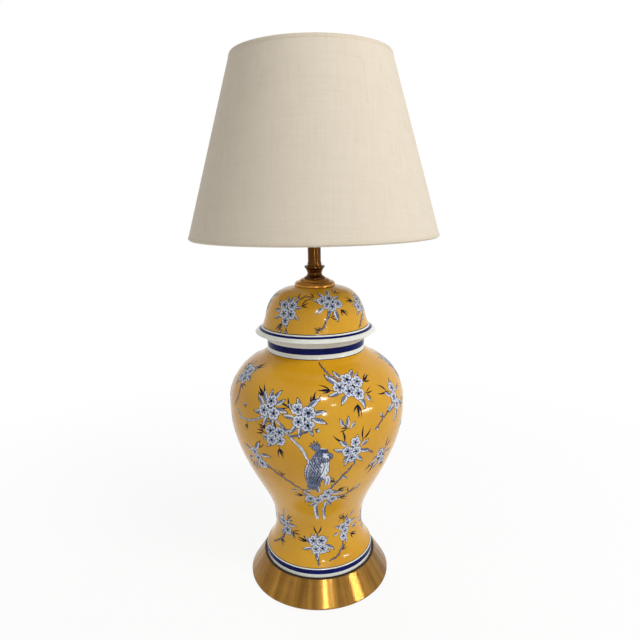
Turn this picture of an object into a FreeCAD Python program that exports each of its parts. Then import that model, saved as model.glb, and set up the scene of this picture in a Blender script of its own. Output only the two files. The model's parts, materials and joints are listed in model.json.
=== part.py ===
import FreeCAD
import Part
import math
import os
from FreeCAD import Vector

# Ginger jar table lamp: a glazed porcelain jar with its lid, clamped by one hollow rod between a spun
# brass plinth and a brass vase cap, with a lamp socket, a harp, a bulb and a tapered linen shade on a
# short riser tube. Millimetres, +Z up. The origin is on the table, in the middle of the felt pad.
# The front faces -Y, the flex leaves at the back (+Y), and the harp stands in the XZ plane.

# ---- clearances
SLIP_GAP = 0.1  # radial, between parts that slide over or turn in each other
LAY_GAP = 0.2  # round loose discs and liners
TURN_GAP = 0.1  # axial, above and below the shade's washer

# ---- felt pad and board that close the plinth
FELT_T = 1.5
BOARD_T = 2.0
RIM_LIFT = 0.7  # the brass rim stops this far above the table

# ---- brass plinth
PLINTH_FOOT_R = 109.6
PLINTH_TOP_R = 88.8
PLINTH_H = 35.4  # table to the top edge
PLINTH_LIP_H = 2.4  # upright lip at the foot
LIP_BEVEL = 0.6
PLINTH_WALL = 2.0
PLINTH_EDGE_T = 1.0  # brass edge round the gasket
GASKET_T = 2.0
GASKET_IN_R = 58.0
GASKET_SINK = 0.2  # how far the gasket lies below the brass edge

# ---- rod, ballast and the nut below it
ROD_R = 4.75
ROD_BORE_R = 3.2
BALLAST_R = 68.0
BALLAST_T = 12.0
WASHER_R = 14.0
WASHER_T = 1.5
NUT_FLATS = 17.0
NUT_T = 5.0
ROD_TAIL = 3.0  # rod below the nut

# ---- cord outlet at the back of the plinth
BUSHING_Z = 11.5
BUSHING_R = 5.4
BUSHING_BORE_R = 3.6
BUSHING_COLLAR_R = 7.6
BUSHING_COLLAR_T = 3.0
BUSHING_PROUD = 6.0  # how far it stands out of the cone at its own height

# ---- porcelain jar, measured up from its foot
JAR_FOOT_R = 84.3
JAR_WAIST_R = 67.8
JAR_BELLY_R = 131.2
JAR_NECK_R = 72.2
JAR_FOOT_BAND_H = 9.0
FOOT_TO_WAIST_H = 47.5
WAIST_TO_BELLY_H = 192.0
BELLY_TO_NECK_H = 86.0
JAR_NECK_H = 23.3
JAR_WALL = 5.0
FOOT_BEVEL = 1.2
FOOT_RING_W = 11.0
FOOT_RECESS = 3.0
# the curve between two of those radii: share of the height, share of the change in radius
FOOT_TO_WAIST = [(0.1875, 0.305), (0.4375, 0.700), (0.72, 0.930)]
WAIST_TO_BELLY = [(0.146, 0.066), (0.380, 0.388), (0.641, 0.767), (0.854, 0.959)]
BELLY_TO_NECK = [
    (0.372, 0.068), (0.628, 0.276), (0.791, 0.545), (0.866, 0.742), (0.918, 0.868), (0.962, 0.945),
]

# ---- porcelain lid, measured up from the jar's mouth
LID_FLANGE_OUT = 17.2  # how far its widest point reaches past the jar's neck
LID_FLANGE_Z = 3.4  # height of its widest point
LID_SEAT_OUT = 4.0  # how far the flat underside reaches past the neck
LID_DOME_OUT = 5.6
LID_DOME_Z = 14.4  # where the dome starts
LID_H = 68.8
LID_TOP_FLAT_R = 29.0
LID_WALL = 4.5
SPIGOT_DEPTH = 10.0
SPIGOT_WALL = 4.0
SPIGOT_GAP = 1.2
LID_DOME = [
    (0.1305, 0.049), (0.287, 0.094), (0.461, 0.156), (0.618, 0.238),
    (0.746, 0.344), (0.857, 0.488), (0.941, 0.693), (0.989, 0.908),
]
# the flange's bead, in the same shares: from the seat to its widest point, and from there to the dome
BEAD_UNDER = [(0.38, 0.74)]
BEAD_OVER = [(0.17, 0.15), (0.40, 0.50), (0.67, 0.83)]

# ---- holes in the porcelain, and the washer that centres the rod in them
JAR_HOLE_R = 7.0
LID_HOLE_R = 6.5
CENTRING_FLANGE_R = 15.0
CENTRING_FLANGE_T = 2.0
CAP_GASKET_T = 0.6

# ---- brass vase cap and spindle
CAP_R = 29.8
CAP_STEP_R = 24.2
CAP_TOP_R = 18.6
CAP_EDGE_H = 1.6
CAP_STEP_H = 6.4
CAP_H = 10.1
CAP_RECESS = 2.6
SPINDLE_FOOT_R = 15.6
SPINDLE_WAIST_R = 10.6
SPINDLE_COLLAR_R = 14.8
SPINDLE_H = 18.6
SPINDLE_WAIST_H = 7.6
SPINDLE_COLLAR_T = 3.0
SPINDLE_SOCKET = 3.0  # depth that the riser tube stands in

# ---- riser tube
RISER_R = 9.5
RISER_WALL = 1.0
RISER_L = 56.0
FERRULE_WALL = 0.7
FERRULE_H = 4.6
RISER_CAP_T = 1.0

# ---- harp saddle, harp and its locking sleeves
SADDLE_T = 1.6
SADDLE_W = 12.0
PRONG_X = 29.0  # middle of each upright prong
PRONG_W = 4.0
PRONG_H = 15.0
HARP_WIRE_R = 1.6
HARP_HALF_W = 58.0
HARP_H = 217.4  # saddle to the shade's seat, an 8.5 inch harp
HARP_LEG_H = 42.0
HARP_WIDEST_LOW = 84.0  # heights above the saddle between which the bow is widest
HARP_WIDEST_HIGH = 150.0
HARP_TOP_HALF = 34.0
HARP_BLOCK_R = 8.5
HARP_BLOCK_SKIN = 1.4  # metal of the block above the wire
SLEEVE_WALL = 1.1
SLEEVE_H = 14.0
SLEEVE_LIFT = 0.4  # gap between sleeve and saddle at rest
STUD_R = 3.05
STUD_L = 11.0

# ---- lamp socket, measured up from the lock nut
LOCK_NUT_T = 4.4
SOCKET_HUB_R = 7.6
SOCKET_HUB_H = 6.0
SOCKET_BOWL_H = 9.0
SOCKET_CAP_R = 16.9
SOCKET_CAP_H = 21.0
SOCKET_WALL = 0.6
SHELL_OVERLAP = 3.0
SHELL_H = 43.0
SHELL_BEAD = 0.8
LINER_T = 0.5
INTERIOR_H = 12.0
ROD_IN_SOCKET = 8.0
SET_SCREW_R = 1.5
SET_SCREW_L = 4.0
TERMINAL_FLAT = 2.9
TERMINAL_R = 3.0
TERMINAL_T = 2.0
THREAD_PITCH = 3.63
THREAD_MEAN_R = 12.75
THREAD_DEPTH = 0.4
THREAD_TURNS = 5
SCREW_SHELL_T = 0.5
THREAD_GAP = 0.4
CONTACT_W = 5.0
CONTACT_T = 0.5
CONTACT_RISE = 2.0

# ---- switch knob, pointing to the front
KNOB_Z = 6.0  # above the foot of the interior
KNOB_SHAFT_R = 1.6
KNOB_R = 5.6
KNOB_L = 12.0
KNOB_OUT = 7.0  # gap between shell and knob
KNOB_FLUTES = 12
SHAFT_SINK = 5.0

# ---- bulb, a 60 mm globe on an E26 base
BULB_R = 30.0
BULB_TIP_R = 4.5
BULB_TIP_H = 1.6
BULB_INSULATOR_H = 3.0
BULB_SKIRT_H = 4.5
BULB_BODY_H = 30.0
BULB_BODY_TOP_R = 27.5
BULB_GLOBE_H = 46.0
BULB_GLOBE_WALL = 1.2

# ---- shade
SHADE_TOP_R = 109.2
SHADE_BOTTOM_R = 177.6
SHADE_H = 243.2
SPIDER_DROP = 12.0  # the washer hangs this far below the shade's top edge
LINEN_T = 0.7
LINER_SHEET_T = 0.6
RING_WIRE_R = 1.2
HEM_W = 9.0
SPIDER_WIRE_R = 1.5
SPIDER_WASHER_R = 12.5
SPIDER_WASHER_T = 1.6
SPIDER_HOLE_R = 4.2
SPIDER_ARMS = 3

# ---- finial
FINIAL_BASE_R = 6.6
FINIAL_BASE_H = 2.2
FINIAL_NECK_R = 4.4
FINIAL_NECK_H = 3.6
FINIAL_BALL_R = 7.6
FINIAL_TIP_H = 2.2

# ---- levels worked out from those sizes, from the table up
PLATE_TOP_Z = PLINTH_H - GASKET_SINK - GASKET_T
PLATE_LOW_Z = PLATE_TOP_Z - PLINTH_WALL
PLINTH_LIP_Z = RIM_LIFT + PLINTH_LIP_H
CONE_SLOPE = (PLINTH_TOP_R - PLINTH_FOOT_R) / (PLINTH_H - PLINTH_LIP_Z)
JAR_Z = PLATE_TOP_Z + GASKET_T
JAR_FLOOR_Z = JAR_Z + JAR_FOOT_BAND_H
JAR_WAIST_Z = JAR_FLOOR_Z + FOOT_TO_WAIST_H
JAR_BELLY_Z = JAR_WAIST_Z + WAIST_TO_BELLY_H
JAR_NECK_Z = JAR_BELLY_Z + BELLY_TO_NECK_H
JAR_MOUTH_Z = JAR_NECK_Z + JAR_NECK_H
LID_TOP_Z = JAR_MOUTH_Z + LID_H
LID_FLANGE_R = JAR_NECK_R + LID_FLANGE_OUT
LID_SEAT_R = JAR_NECK_R + LID_SEAT_OUT
LID_DOME_R = JAR_NECK_R + LID_DOME_OUT
CAP_Z = LID_TOP_Z + CAP_GASKET_T
SPINDLE_Z = CAP_Z + CAP_H
SPINDLE_TOP_Z = SPINDLE_Z + SPINDLE_H
RISER_Z = SPINDLE_TOP_Z - SPINDLE_SOCKET
RISER_TOP_Z = RISER_Z + RISER_L
SADDLE_Z = RISER_TOP_Z + RISER_CAP_T
SADDLE_TOP_Z = SADDLE_Z + SADDLE_T
SOCKET_Z = SADDLE_TOP_Z + LOCK_NUT_T
SHELL_Z = SOCKET_Z + SOCKET_CAP_H - SHELL_OVERLAP
SHELL_R = SOCKET_CAP_R + SLIP_GAP + SOCKET_WALL
LINER_R = SHELL_R - SOCKET_WALL - SLIP_GAP
INTERIOR_R = LINER_R - LINER_T - SLIP_GAP
INTERIOR_Z = SOCKET_Z + SOCKET_CAP_H
INTERIOR_TOP_Z = INTERIOR_Z + INTERIOR_H
KNOB_AXIS_Z = INTERIOR_Z + KNOB_Z
BULB_Z = INTERIOR_TOP_Z + CONTACT_T + CONTACT_RISE + SLIP_GAP
THREAD_Z = BULB_Z + BULB_TIP_H + BULB_INSULATOR_H
BULB_SKIRT_Z = THREAD_Z + THREAD_PITCH * THREAD_TURNS
BULB_BODY_Z = BULB_SKIRT_Z + BULB_SKIRT_H
GLOBE_Z = BULB_BODY_Z + BULB_BODY_H
HARP_SEAT_Z = SADDLE_TOP_Z + HARP_H
HARP_WIRE_Z = HARP_SEAT_Z - HARP_BLOCK_SKIN - HARP_WIRE_R
HARP_LEG_X = PRONG_X + SADDLE_T / 2 + HARP_WIRE_R + SLIP_GAP
SPIDER_Z = HARP_SEAT_Z + TURN_GAP
SHADE_TOP_Z = SPIDER_Z + SPIDER_DROP
FINIAL_Z = SPIDER_Z + SPIDER_WASHER_T + TURN_GAP
HEM_ROLL_R = RING_WIRE_R + SLIP_GAP + LINEN_T
HEM_LOW = LINEN_T + LINER_SHEET_T + SLIP_GAP  # depth of the hem's hidden face
BALLAST_Z = PLATE_LOW_Z - BALLAST_T
NUT_Z = BALLAST_Z - WASHER_T - NUT_T
ROD_Z = NUT_Z - ROD_TAIL
ROD_TOP_Z = SOCKET_Z + ROD_IN_SOCKET

UP = Vector(0, 0, 1)
AXIS = Vector(0, 0, 0)


# ---- drawing helpers: outlines lie in the XZ plane, as (radius, height) pairs

def at(radius, height):
    return Vector(radius, 0, height)


def line(start, end):
    return Part.LineSegment(at(*start), at(*end)).toShape()


def lines(points):
    return [line(a, b) for a, b in zip(points, points[1:])]


def arc(start, middle, end):
    return Part.Arc(at(*start), at(*middle), at(*end)).toShape()


def smooth(points, start_way=None, end_way=None):
    """A smooth curve through the points, leaving and arriving in the given directions."""
    curve = Part.BSplineCurve()
    places = [at(*p) for p in points]
    if start_way is None:
        curve.interpolate(Points=places)
    else:
        curve.interpolate(Points=places, InitialTangent=at(*start_way), FinalTangent=at(*end_way))
    return curve


def arcs_through(points):
    """Arcs through the points, each from one point over the next to the one after it."""
    return [arc(a, b, c) for a, b, c in zip(points[::2], points[1::2], points[2::2])]


def inset(curve, points, depth):
    """The points of an outline, each moved by depth towards the axis side of the curve."""
    moved = []
    for radius, height in points:
        way = curve.tangent(curve.parameter(at(radius, height)))[0]
        moved.append((radius - depth * way.z, height + depth * way.x))
    return moved


def turned(edges):
    """The closed outline turned once round the Z axis."""
    face = Part.Face(Part.Wire(Part.__sortEdges__(edges)))
    return face.revolve(AXIS, UP, 360)


def lathe(points):
    return turned(lines(points + points[:1]))


def disc(radius, low, high):
    return Part.makeCylinder(radius, high - low, at(0, low))


def ring(outer, inner, low, high):
    return disc(outer, low, high).cut(disc(inner, low - 1, high + 1))


def round_bar(radius, start, end):
    return Part.makeCylinder(radius, (end - start).Length, start, end - start)


def between(low, high, shares, low_r, high_r):
    """Outline points from one named radius to the next."""
    return [(low_r + s * (high_r - low_r), low + t * (high - low)) for t, s in shares]


def rounded_path(corners, radii):
    """A wire of straight runs joined by tangent arcs, one radius for each inner corner."""
    edges = []
    last = corners[0]
    for before, corner, after, radius in zip(corners, corners[1:], corners[2:], radii):
        back = (before - corner).normalize()
        on = (after - corner).normalize()
        half = (math.pi - back.getAngle(on)) / 2
        reach = radius * math.tan(half)
        start = corner + back * reach
        end = corner + on * reach
        inward = (back + on).normalize()
        middle = corner + inward * (radius / math.cos(half) - radius)
        edges.append(Part.LineSegment(last, start).toShape())
        edges.append(Part.Arc(start, middle, end).toShape())
        last = end
    edges.append(Part.LineSegment(last, corners[-1]).toShape())
    return Part.Wire(edges)


def wire_along(path, radius):
    """A round wire along a path."""
    first = path.Edges[0]
    start = first.valueAt(first.FirstParameter)
    way = first.tangentAt(first.FirstParameter)
    section = Part.Wire([Part.makeCircle(radius, start, way)])
    return path.makePipeShell([section], True, False)


def hexagon(flats, hole, low, high):
    corner = flats / 2 / math.cos(math.pi / 6)
    turns = [math.radians(60 * k) for k in range(7)]
    outline = Part.makePolygon([Vector(corner * math.cos(a), corner * math.sin(a), low) for a in turns])
    return Part.Face(outline).extrude(UP * (high - low)).cut(disc(hole, low - 1, high + 1))


# ---- base

def cone_r(height):
    """Outer radius of the plinth's cone at a height."""
    return PLINTH_FOOT_R + (height - PLINTH_LIP_Z) * CONE_SLOPE


def cone_in_r(height):
    """Inner radius of the cone, whose wall is measured square to its face."""
    return cone_r(height) - PLINTH_WALL * math.hypot(1, CONE_SLOPE)


def cord_hole(radius):
    return round_bar(radius, Vector(0, BALLAST_R, BUSHING_Z), Vector(0, PLINTH_FOOT_R * 2, BUSHING_Z))


def brass_plinth():
    bore_r = ROD_R + SLIP_GAP
    edge_in_r = PLINTH_TOP_R - PLINTH_EDGE_T
    shell = lathe([
        (bore_r, PLATE_LOW_Z),
        (cone_in_r(PLATE_LOW_Z), PLATE_LOW_Z),
        (cone_in_r(PLINTH_LIP_Z), PLINTH_LIP_Z),
        (cone_in_r(PLINTH_LIP_Z), RIM_LIFT),
        (PLINTH_FOOT_R - LIP_BEVEL, RIM_LIFT),
        (PLINTH_FOOT_R, RIM_LIFT + LIP_BEVEL),
        (PLINTH_FOOT_R, PLINTH_LIP_Z),
        (PLINTH_TOP_R, PLINTH_H),
        (edge_in_r, PLINTH_H),
        (edge_in_r, PLATE_TOP_Z),
        (bore_r, PLATE_TOP_Z),
    ])
    return shell.cut(cord_hole(BUSHING_R + SLIP_GAP))


def cord_bushing():
    outer_y = cone_r(BUSHING_Z) + BUSHING_PROUD
    collar_y = cone_in_r(BUSHING_Z + BUSHING_COLLAR_R) - LAY_GAP
    inner_y = collar_y - BUSHING_COLLAR_T
    tube = round_bar(BUSHING_R, Vector(0, inner_y, BUSHING_Z), Vector(0, outer_y, BUSHING_Z))
    collar = round_bar(BUSHING_COLLAR_R, Vector(0, inner_y, BUSHING_Z), Vector(0, collar_y, BUSHING_Z))
    return tube.fuse(collar).removeSplitter().cut(cord_hole(BUSHING_BORE_R))


def base_parts():
    board_z = FELT_T + BOARD_T
    board_r = cone_in_r(max(board_z, PLINTH_LIP_Z)) - LAY_GAP
    return {
        "felt_pad": disc(board_r, 0, FELT_T),
        "base_board": disc(board_r, FELT_T, board_z),
        "brass_plinth": brass_plinth(),
        "cord_bushing": cord_bushing(),
        "seat_gasket": ring(
            PLINTH_TOP_R - PLINTH_EDGE_T - LAY_GAP, GASKET_IN_R, PLATE_TOP_Z, PLATE_TOP_Z + GASKET_T
        ),
        "ballast_disc": ring(BALLAST_R, ROD_R + LAY_GAP, BALLAST_Z, PLATE_LOW_Z),
        "rod_washer": ring(WASHER_R, ROD_R + LAY_GAP, BALLAST_Z - WASHER_T, BALLAST_Z),
        "rod_nut": hexagon(NUT_FLATS, ROD_R, NUT_Z, NUT_Z + NUT_T),
        "threaded_rod": ring(ROD_R, ROD_BORE_R, ROD_Z, ROD_TOP_Z),
    }


# ---- porcelain

def jar_body():
    points = [(JAR_FOOT_R, JAR_FLOOR_Z)]
    points += between(JAR_FLOOR_Z, JAR_WAIST_Z, FOOT_TO_WAIST, JAR_FOOT_R, JAR_WAIST_R)
    points += [(JAR_WAIST_R, JAR_WAIST_Z)]
    points += between(JAR_WAIST_Z, JAR_BELLY_Z, WAIST_TO_BELLY, JAR_WAIST_R, JAR_BELLY_R)
    points += [(JAR_BELLY_R, JAR_BELLY_Z)]
    points += between(JAR_BELLY_Z, JAR_NECK_Z, BELLY_TO_NECK, JAR_BELLY_R, JAR_NECK_R)
    points += [(JAR_NECK_R, JAR_NECK_Z)]
    outer = smooth(points, (0, 1), (0, 1))
    inner_points = inset(outer, points, JAR_WALL)
    inner = smooth(inner_points, (0, 1), (0, 1))
    mouth_in_r = JAR_NECK_R - JAR_WALL
    foot_in_r = JAR_FOOT_R - FOOT_RING_W
    lip = JAR_WALL / 4
    edges = [outer.toShape(), inner.toShape()]
    edges += lines([
        (JAR_FOOT_R, JAR_FLOOR_Z),
        (JAR_FOOT_R, JAR_Z + FOOT_BEVEL),
        (JAR_FOOT_R - FOOT_BEVEL, JAR_Z),
        (foot_in_r, JAR_Z),
        (foot_in_r - FOOT_RECESS, JAR_Z + FOOT_RECESS),
        (JAR_HOLE_R, JAR_Z + FOOT_RECESS),
        (JAR_HOLE_R, JAR_FLOOR_Z),
        inner_points[0],
    ])
    edges += lines([
        (JAR_NECK_R, JAR_NECK_Z),
        (JAR_NECK_R, JAR_MOUTH_Z - lip),
        (JAR_NECK_R - lip, JAR_MOUTH_Z),
        (mouth_in_r, JAR_MOUTH_Z),
        (mouth_in_r, JAR_NECK_Z),
    ])
    return turned(edges)


def jar_lid():
    widest_z = JAR_MOUTH_Z + LID_FLANGE_Z
    dome_z = JAR_MOUTH_Z + LID_DOME_Z
    seat = (LID_SEAT_R, JAR_MOUTH_Z)
    bead = [seat]
    bead += between(JAR_MOUTH_Z, widest_z, BEAD_UNDER, LID_SEAT_R, LID_FLANGE_R)
    bead += [(LID_FLANGE_R, widest_z)]
    bead += between(widest_z, dome_z, BEAD_OVER, LID_FLANGE_R, LID_DOME_R)
    bead += [(LID_DOME_R, dome_z)]
    dome_points = between(dome_z, LID_TOP_Z, LID_DOME, LID_DOME_R, LID_TOP_FLAT_R)
    dome = smooth([bead[-1]] + dome_points + [(LID_TOP_FLAT_R, LID_TOP_Z)], (-0.3, 1), (-1, 0))
    inner_points = inset(dome, dome_points, LID_WALL)
    inner_top = (LID_TOP_FLAT_R, LID_TOP_Z - LID_WALL)
    inner = smooth(inner_points + [inner_top])
    spigot_r = JAR_NECK_R - JAR_WALL - SPIGOT_GAP
    spigot_in_r = spigot_r - SPIGOT_WALL
    spigot_z = JAR_MOUTH_Z - SPIGOT_DEPTH
    edges = arcs_through(bead) + [dome.toShape(), inner.toShape()]
    edges += lines([
        seat,
        (spigot_r, JAR_MOUTH_Z),
        (spigot_r, spigot_z),
        (spigot_in_r, spigot_z),
        (spigot_in_r, widest_z),
        inner_points[0],
    ])
    edges += lines([
        (LID_TOP_FLAT_R, LID_TOP_Z),
        (LID_HOLE_R, LID_TOP_Z),
        (LID_HOLE_R, LID_TOP_Z - LID_WALL),
        inner_top,
    ])
    return turned(edges)


def centring_washer():
    """Rubber washer that fills the gap between the rod and the hole in the jar's floor."""
    plug_r = JAR_HOLE_R - SLIP_GAP
    bore_r = ROD_R + SLIP_GAP
    flange_top = JAR_FLOOR_Z + CENTRING_FLANGE_T
    return lathe([
        (bore_r, JAR_Z + FOOT_RECESS),
        (plug_r, JAR_Z + FOOT_RECESS),
        (plug_r, JAR_FLOOR_Z),
        (CENTRING_FLANGE_R, JAR_FLOOR_Z),
        (CENTRING_FLANGE_R, flange_top),
        (bore_r, flange_top),
    ])


def porcelain_parts():
    return {
        "jar_body": jar_body(),
        "jar_lid": jar_lid(),
        "rod_centring_washer": centring_washer(),
        "cap_gasket": ring(LID_TOP_FLAT_R - LAY_GAP, ROD_R + LAY_GAP, LID_TOP_Z, CAP_Z),
    }


# ---- brass turnings above the lid

def vase_cap():
    bore_r = ROD_R + SLIP_GAP
    step_z = CAP_Z + CAP_STEP_H
    edge_z = CAP_Z + CAP_EDGE_H
    top_z = CAP_Z + CAP_H
    ledge = (CAP_STEP_R - CAP_TOP_R) / 6
    ledge_r = CAP_STEP_R - ledge
    skirt = (CAP_R - CAP_STEP_R) / 4
    recess_out_r = CAP_R - 2 * skirt
    recess_in_r = bore_r + 4 * skirt
    edges = lines([(CAP_R, CAP_Z), (CAP_R, edge_z)])
    edges += [arc(
        (CAP_R, edge_z), (CAP_R - skirt, (edge_z + step_z) / 2 + skirt / 2), (CAP_STEP_R, step_z)
    )]
    edges += lines([(CAP_STEP_R, step_z), (ledge_r, step_z)])
    edges += [arc(
        (ledge_r, step_z), (CAP_TOP_R + 2 * ledge, (step_z + top_z) / 2 + ledge), (CAP_TOP_R, top_z)
    )]
    edges += lines([
        (CAP_TOP_R, top_z),
        (bore_r, top_z),
        (bore_r, CAP_Z),
        (recess_in_r, CAP_Z),
        (recess_in_r, CAP_Z + CAP_RECESS),
        (recess_out_r, CAP_Z + CAP_RECESS),
        (recess_out_r, CAP_Z),
        (CAP_R, CAP_Z),
    ])
    return turned(edges)


def neck_spindle():
    waist_z = SPINDLE_Z + SPINDLE_WAIST_H
    collar_z = SPINDLE_TOP_Z - SPINDLE_COLLAR_T
    foot_h = SPINDLE_WAIST_H / 5
    edge = SPINDLE_COLLAR_T / 5
    bore_r = ROD_R + SLIP_GAP
    socket_r = RISER_R + SLIP_GAP
    outline = smooth(
        [
            (SPINDLE_FOOT_R, SPINDLE_Z + foot_h),
            (SPINDLE_WAIST_R + (SPINDLE_FOOT_R - SPINDLE_WAIST_R) * 0.3, SPINDLE_Z + SPINDLE_WAIST_H * 0.55),
            (SPINDLE_WAIST_R, waist_z),
            (SPINDLE_WAIST_R + (SPINDLE_COLLAR_R - SPINDLE_WAIST_R) * 0.3, (waist_z + collar_z) / 2),
            (SPINDLE_COLLAR_R - edge, collar_z),
        ],
        (-1, 0.8),
        (1, 1),
    )
    edges = [outline.toShape()]
    edges += lines([
        (SPINDLE_COLLAR_R - edge, collar_z),
        (SPINDLE_COLLAR_R, collar_z + edge),
        (SPINDLE_COLLAR_R, SPINDLE_TOP_Z - edge),
        (SPINDLE_COLLAR_R - edge, SPINDLE_TOP_Z),
        (socket_r, SPINDLE_TOP_Z),
        (socket_r, RISER_Z),
        (bore_r, RISER_Z),
        (bore_r, SPINDLE_Z),
        (SPINDLE_FOOT_R, SPINDLE_Z),
        (SPINDLE_FOOT_R, SPINDLE_Z + foot_h),
    ])
    return turned(edges)


def brass_parts():
    ferrule_in_r = RISER_R + SLIP_GAP
    return {
        "vase_cap": vase_cap(),
        "neck_spindle": neck_spindle(),
        "riser_tube": ring(RISER_R, RISER_R - RISER_WALL, RISER_Z, RISER_TOP_Z),
        "tube_ferrule": ring(
            ferrule_in_r + FERRULE_WALL, ferrule_in_r, SPINDLE_TOP_Z, SPINDLE_TOP_Z + FERRULE_H
        ),
        "riser_cap": ring(RISER_R, ROD_R + SLIP_GAP, RISER_TOP_Z, SADDLE_Z),
    }


# ---- harp

def harp_saddle():
    half = PRONG_X + SADDLE_T / 2
    strip = Part.makeBox(2 * half, SADDLE_W, SADDLE_T, Vector(-half, -SADDLE_W / 2, SADDLE_Z))
    for side in (-1, 1):
        corner = Vector(side * PRONG_X - SADDLE_T / 2, -PRONG_W / 2, SADDLE_Z)
        strip = strip.fuse(Part.makeBox(SADDLE_T, PRONG_W, SADDLE_T + PRONG_H, corner))
    strip = strip.removeSplitter()
    return strip.cut(disc(ROD_R + SLIP_GAP, SADDLE_Z - 1, SADDLE_TOP_Z + 1))


def harp_wire():
    right = [
        at(HARP_LEG_X, SADDLE_TOP_Z + SLEEVE_LIFT),
        at(HARP_LEG_X, SADDLE_TOP_Z + HARP_LEG_H),
        at(HARP_HALF_W, SADDLE_TOP_Z + HARP_WIDEST_LOW),
        at(HARP_HALF_W, SADDLE_TOP_Z + HARP_WIDEST_HIGH),
        at(HARP_TOP_HALF, HARP_WIRE_Z),
    ]
    left = [Vector(-p.x, 0, p.z) for p in reversed(right)]
    bends = [22, 36, 75, 26]
    return wire_along(rounded_path(right + left, bends + bends[::-1]), HARP_WIRE_R)


def harp_stud(wire):
    block_z = HARP_WIRE_Z - HARP_WIRE_R - HARP_BLOCK_SKIN
    block = disc(HARP_BLOCK_R, block_z, HARP_SEAT_Z)
    stud = disc(STUD_R, HARP_SEAT_Z - HARP_BLOCK_SKIN, HARP_SEAT_Z + STUD_L)
    return block.fuse(stud).removeSplitter().cut(wire)


def harp_sleeve(side):
    """The sleeve that locks a harp leg to its prong. It slides up the straight leg."""
    prong_in_x = PRONG_X - SADDLE_T / 2
    leg_out_x = HARP_LEG_X + HARP_WIRE_R
    middle_x = (prong_in_x + leg_out_x) / 2
    bore_r = math.hypot(middle_x - prong_in_x, PRONG_W / 2) + 2 * SLIP_GAP
    low = SADDLE_TOP_Z + SLEEVE_LIFT
    sleeve = ring(bore_r + SLEEVE_WALL, bore_r, low, low + SLEEVE_H)
    return sleeve.translated(Vector(side * middle_x, 0, 0))


def harp_parts():
    wire = harp_wire()
    return {
        "harp_saddle": harp_saddle(),
        "harp_wire": wire,
        "harp_stud": harp_stud(wire),
        "harp_sleeve_left": harp_sleeve(-1),
        "harp_sleeve_right": harp_sleeve(1),
    }


# ---- lamp socket

def to_the_front(radius, start_y, end_y):
    """A round bar on the switch's axis, between two distances in front of the lamp's axis."""
    return round_bar(radius, Vector(0, -start_y, KNOB_AXIS_Z), Vector(0, -end_y, KNOB_AXIS_Z))


def set_screw(radius):
    z = SOCKET_Z + SOCKET_HUB_H / 2
    return round_bar(radius, Vector(0, ROD_R, z), Vector(0, ROD_R + SET_SCREW_L, z))


def socket_cap():
    bowl_z = SOCKET_Z + SOCKET_HUB_H
    rim_z = bowl_z + SOCKET_BOWL_H
    top_z = SOCKET_Z + SOCKET_CAP_H
    in_r = SOCKET_CAP_R - SOCKET_WALL
    hub_in_r = SOCKET_HUB_R - SOCKET_WALL
    bend = (SOCKET_CAP_R - SOCKET_HUB_R) * 0.72
    edges = lines([
        (SOCKET_CAP_R, rim_z), (SOCKET_CAP_R, top_z), (in_r, top_z), (in_r, rim_z),
    ])
    edges += [
        arc((in_r, rim_z), (hub_in_r + bend, rim_z - bend), (hub_in_r, bowl_z + SOCKET_WALL)),
        arc((SOCKET_CAP_R, rim_z), (SOCKET_HUB_R + bend, rim_z - bend), (SOCKET_HUB_R, bowl_z)),
    ]
    edges += lines([
        (hub_in_r, bowl_z + SOCKET_WALL),
        (ROD_R, bowl_z + SOCKET_WALL),
        (ROD_R, SOCKET_Z),
        (SOCKET_HUB_R, SOCKET_Z),
        (SOCKET_HUB_R, bowl_z),
    ])
    return turned(edges).cut(set_screw(SET_SCREW_R))


def socket_shell():
    low_in = SHELL_R - SOCKET_WALL
    top_z = SHELL_Z + SHELL_H
    bead_z = top_z - 4 * SHELL_BEAD
    shell = lathe([
        (low_in, SHELL_Z),
        (SHELL_R, SHELL_Z),
        (SHELL_R, bead_z),
        (SHELL_R + SHELL_BEAD, bead_z + SHELL_BEAD),
        (SHELL_R + SHELL_BEAD, top_z - SHELL_BEAD),
        (SHELL_R, top_z),
        (low_in, top_z),
    ])
    return shell.cut(to_the_front(KNOB_SHAFT_R + LAY_GAP, INTERIOR_R, SHELL_R + 1))


def socket_liner():
    liner = ring(LINER_R, LINER_R - LINER_T, INTERIOR_Z, SHELL_Z + SHELL_H)
    return liner.cut(to_the_front(KNOB_SHAFT_R + LAY_GAP, INTERIOR_R - 1, SHELL_R))


def socket_interior():
    block = disc(INTERIOR_R, INTERIOR_Z, INTERIOR_TOP_Z)
    block = block.cut(to_the_front(KNOB_SHAFT_R + LAY_GAP, INTERIOR_R - SHAFT_SINK - SLIP_GAP, SHELL_R))
    for side in (-1, 1):
        flat_x = INTERIOR_R - TERMINAL_FLAT
        corner = Vector(min(side * flat_x, side * 2 * INTERIOR_R), -INTERIOR_R, INTERIOR_Z - 1)
        wide = 2 * INTERIOR_R - flat_x
        block = block.cut(Part.makeBox(wide, 2 * INTERIOR_R, INTERIOR_H + 2, corner))
    return block


def terminal_screws():
    flat_x = INTERIOR_R - TERMINAL_FLAT
    z = INTERIOR_Z + INTERIOR_H / 2
    heads = []
    for side in (-1, 1):
        start = Vector(side * flat_x, 0, z)
        end = Vector(side * (flat_x + TERMINAL_T), 0, z)
        head = round_bar(TERMINAL_R, start, end)
        slot_x = side * (flat_x + TERMINAL_T * 0.8)
        slot = Part.makeBox(TERMINAL_T, 2 * TERMINAL_R, 0.8)
        slot.translate(Vector(slot_x - TERMINAL_T / 2 + side * TERMINAL_T / 2, -TERMINAL_R, z - 0.4))
        heads.append(head.cut(slot))
    return Part.makeCompound(heads)


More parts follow.
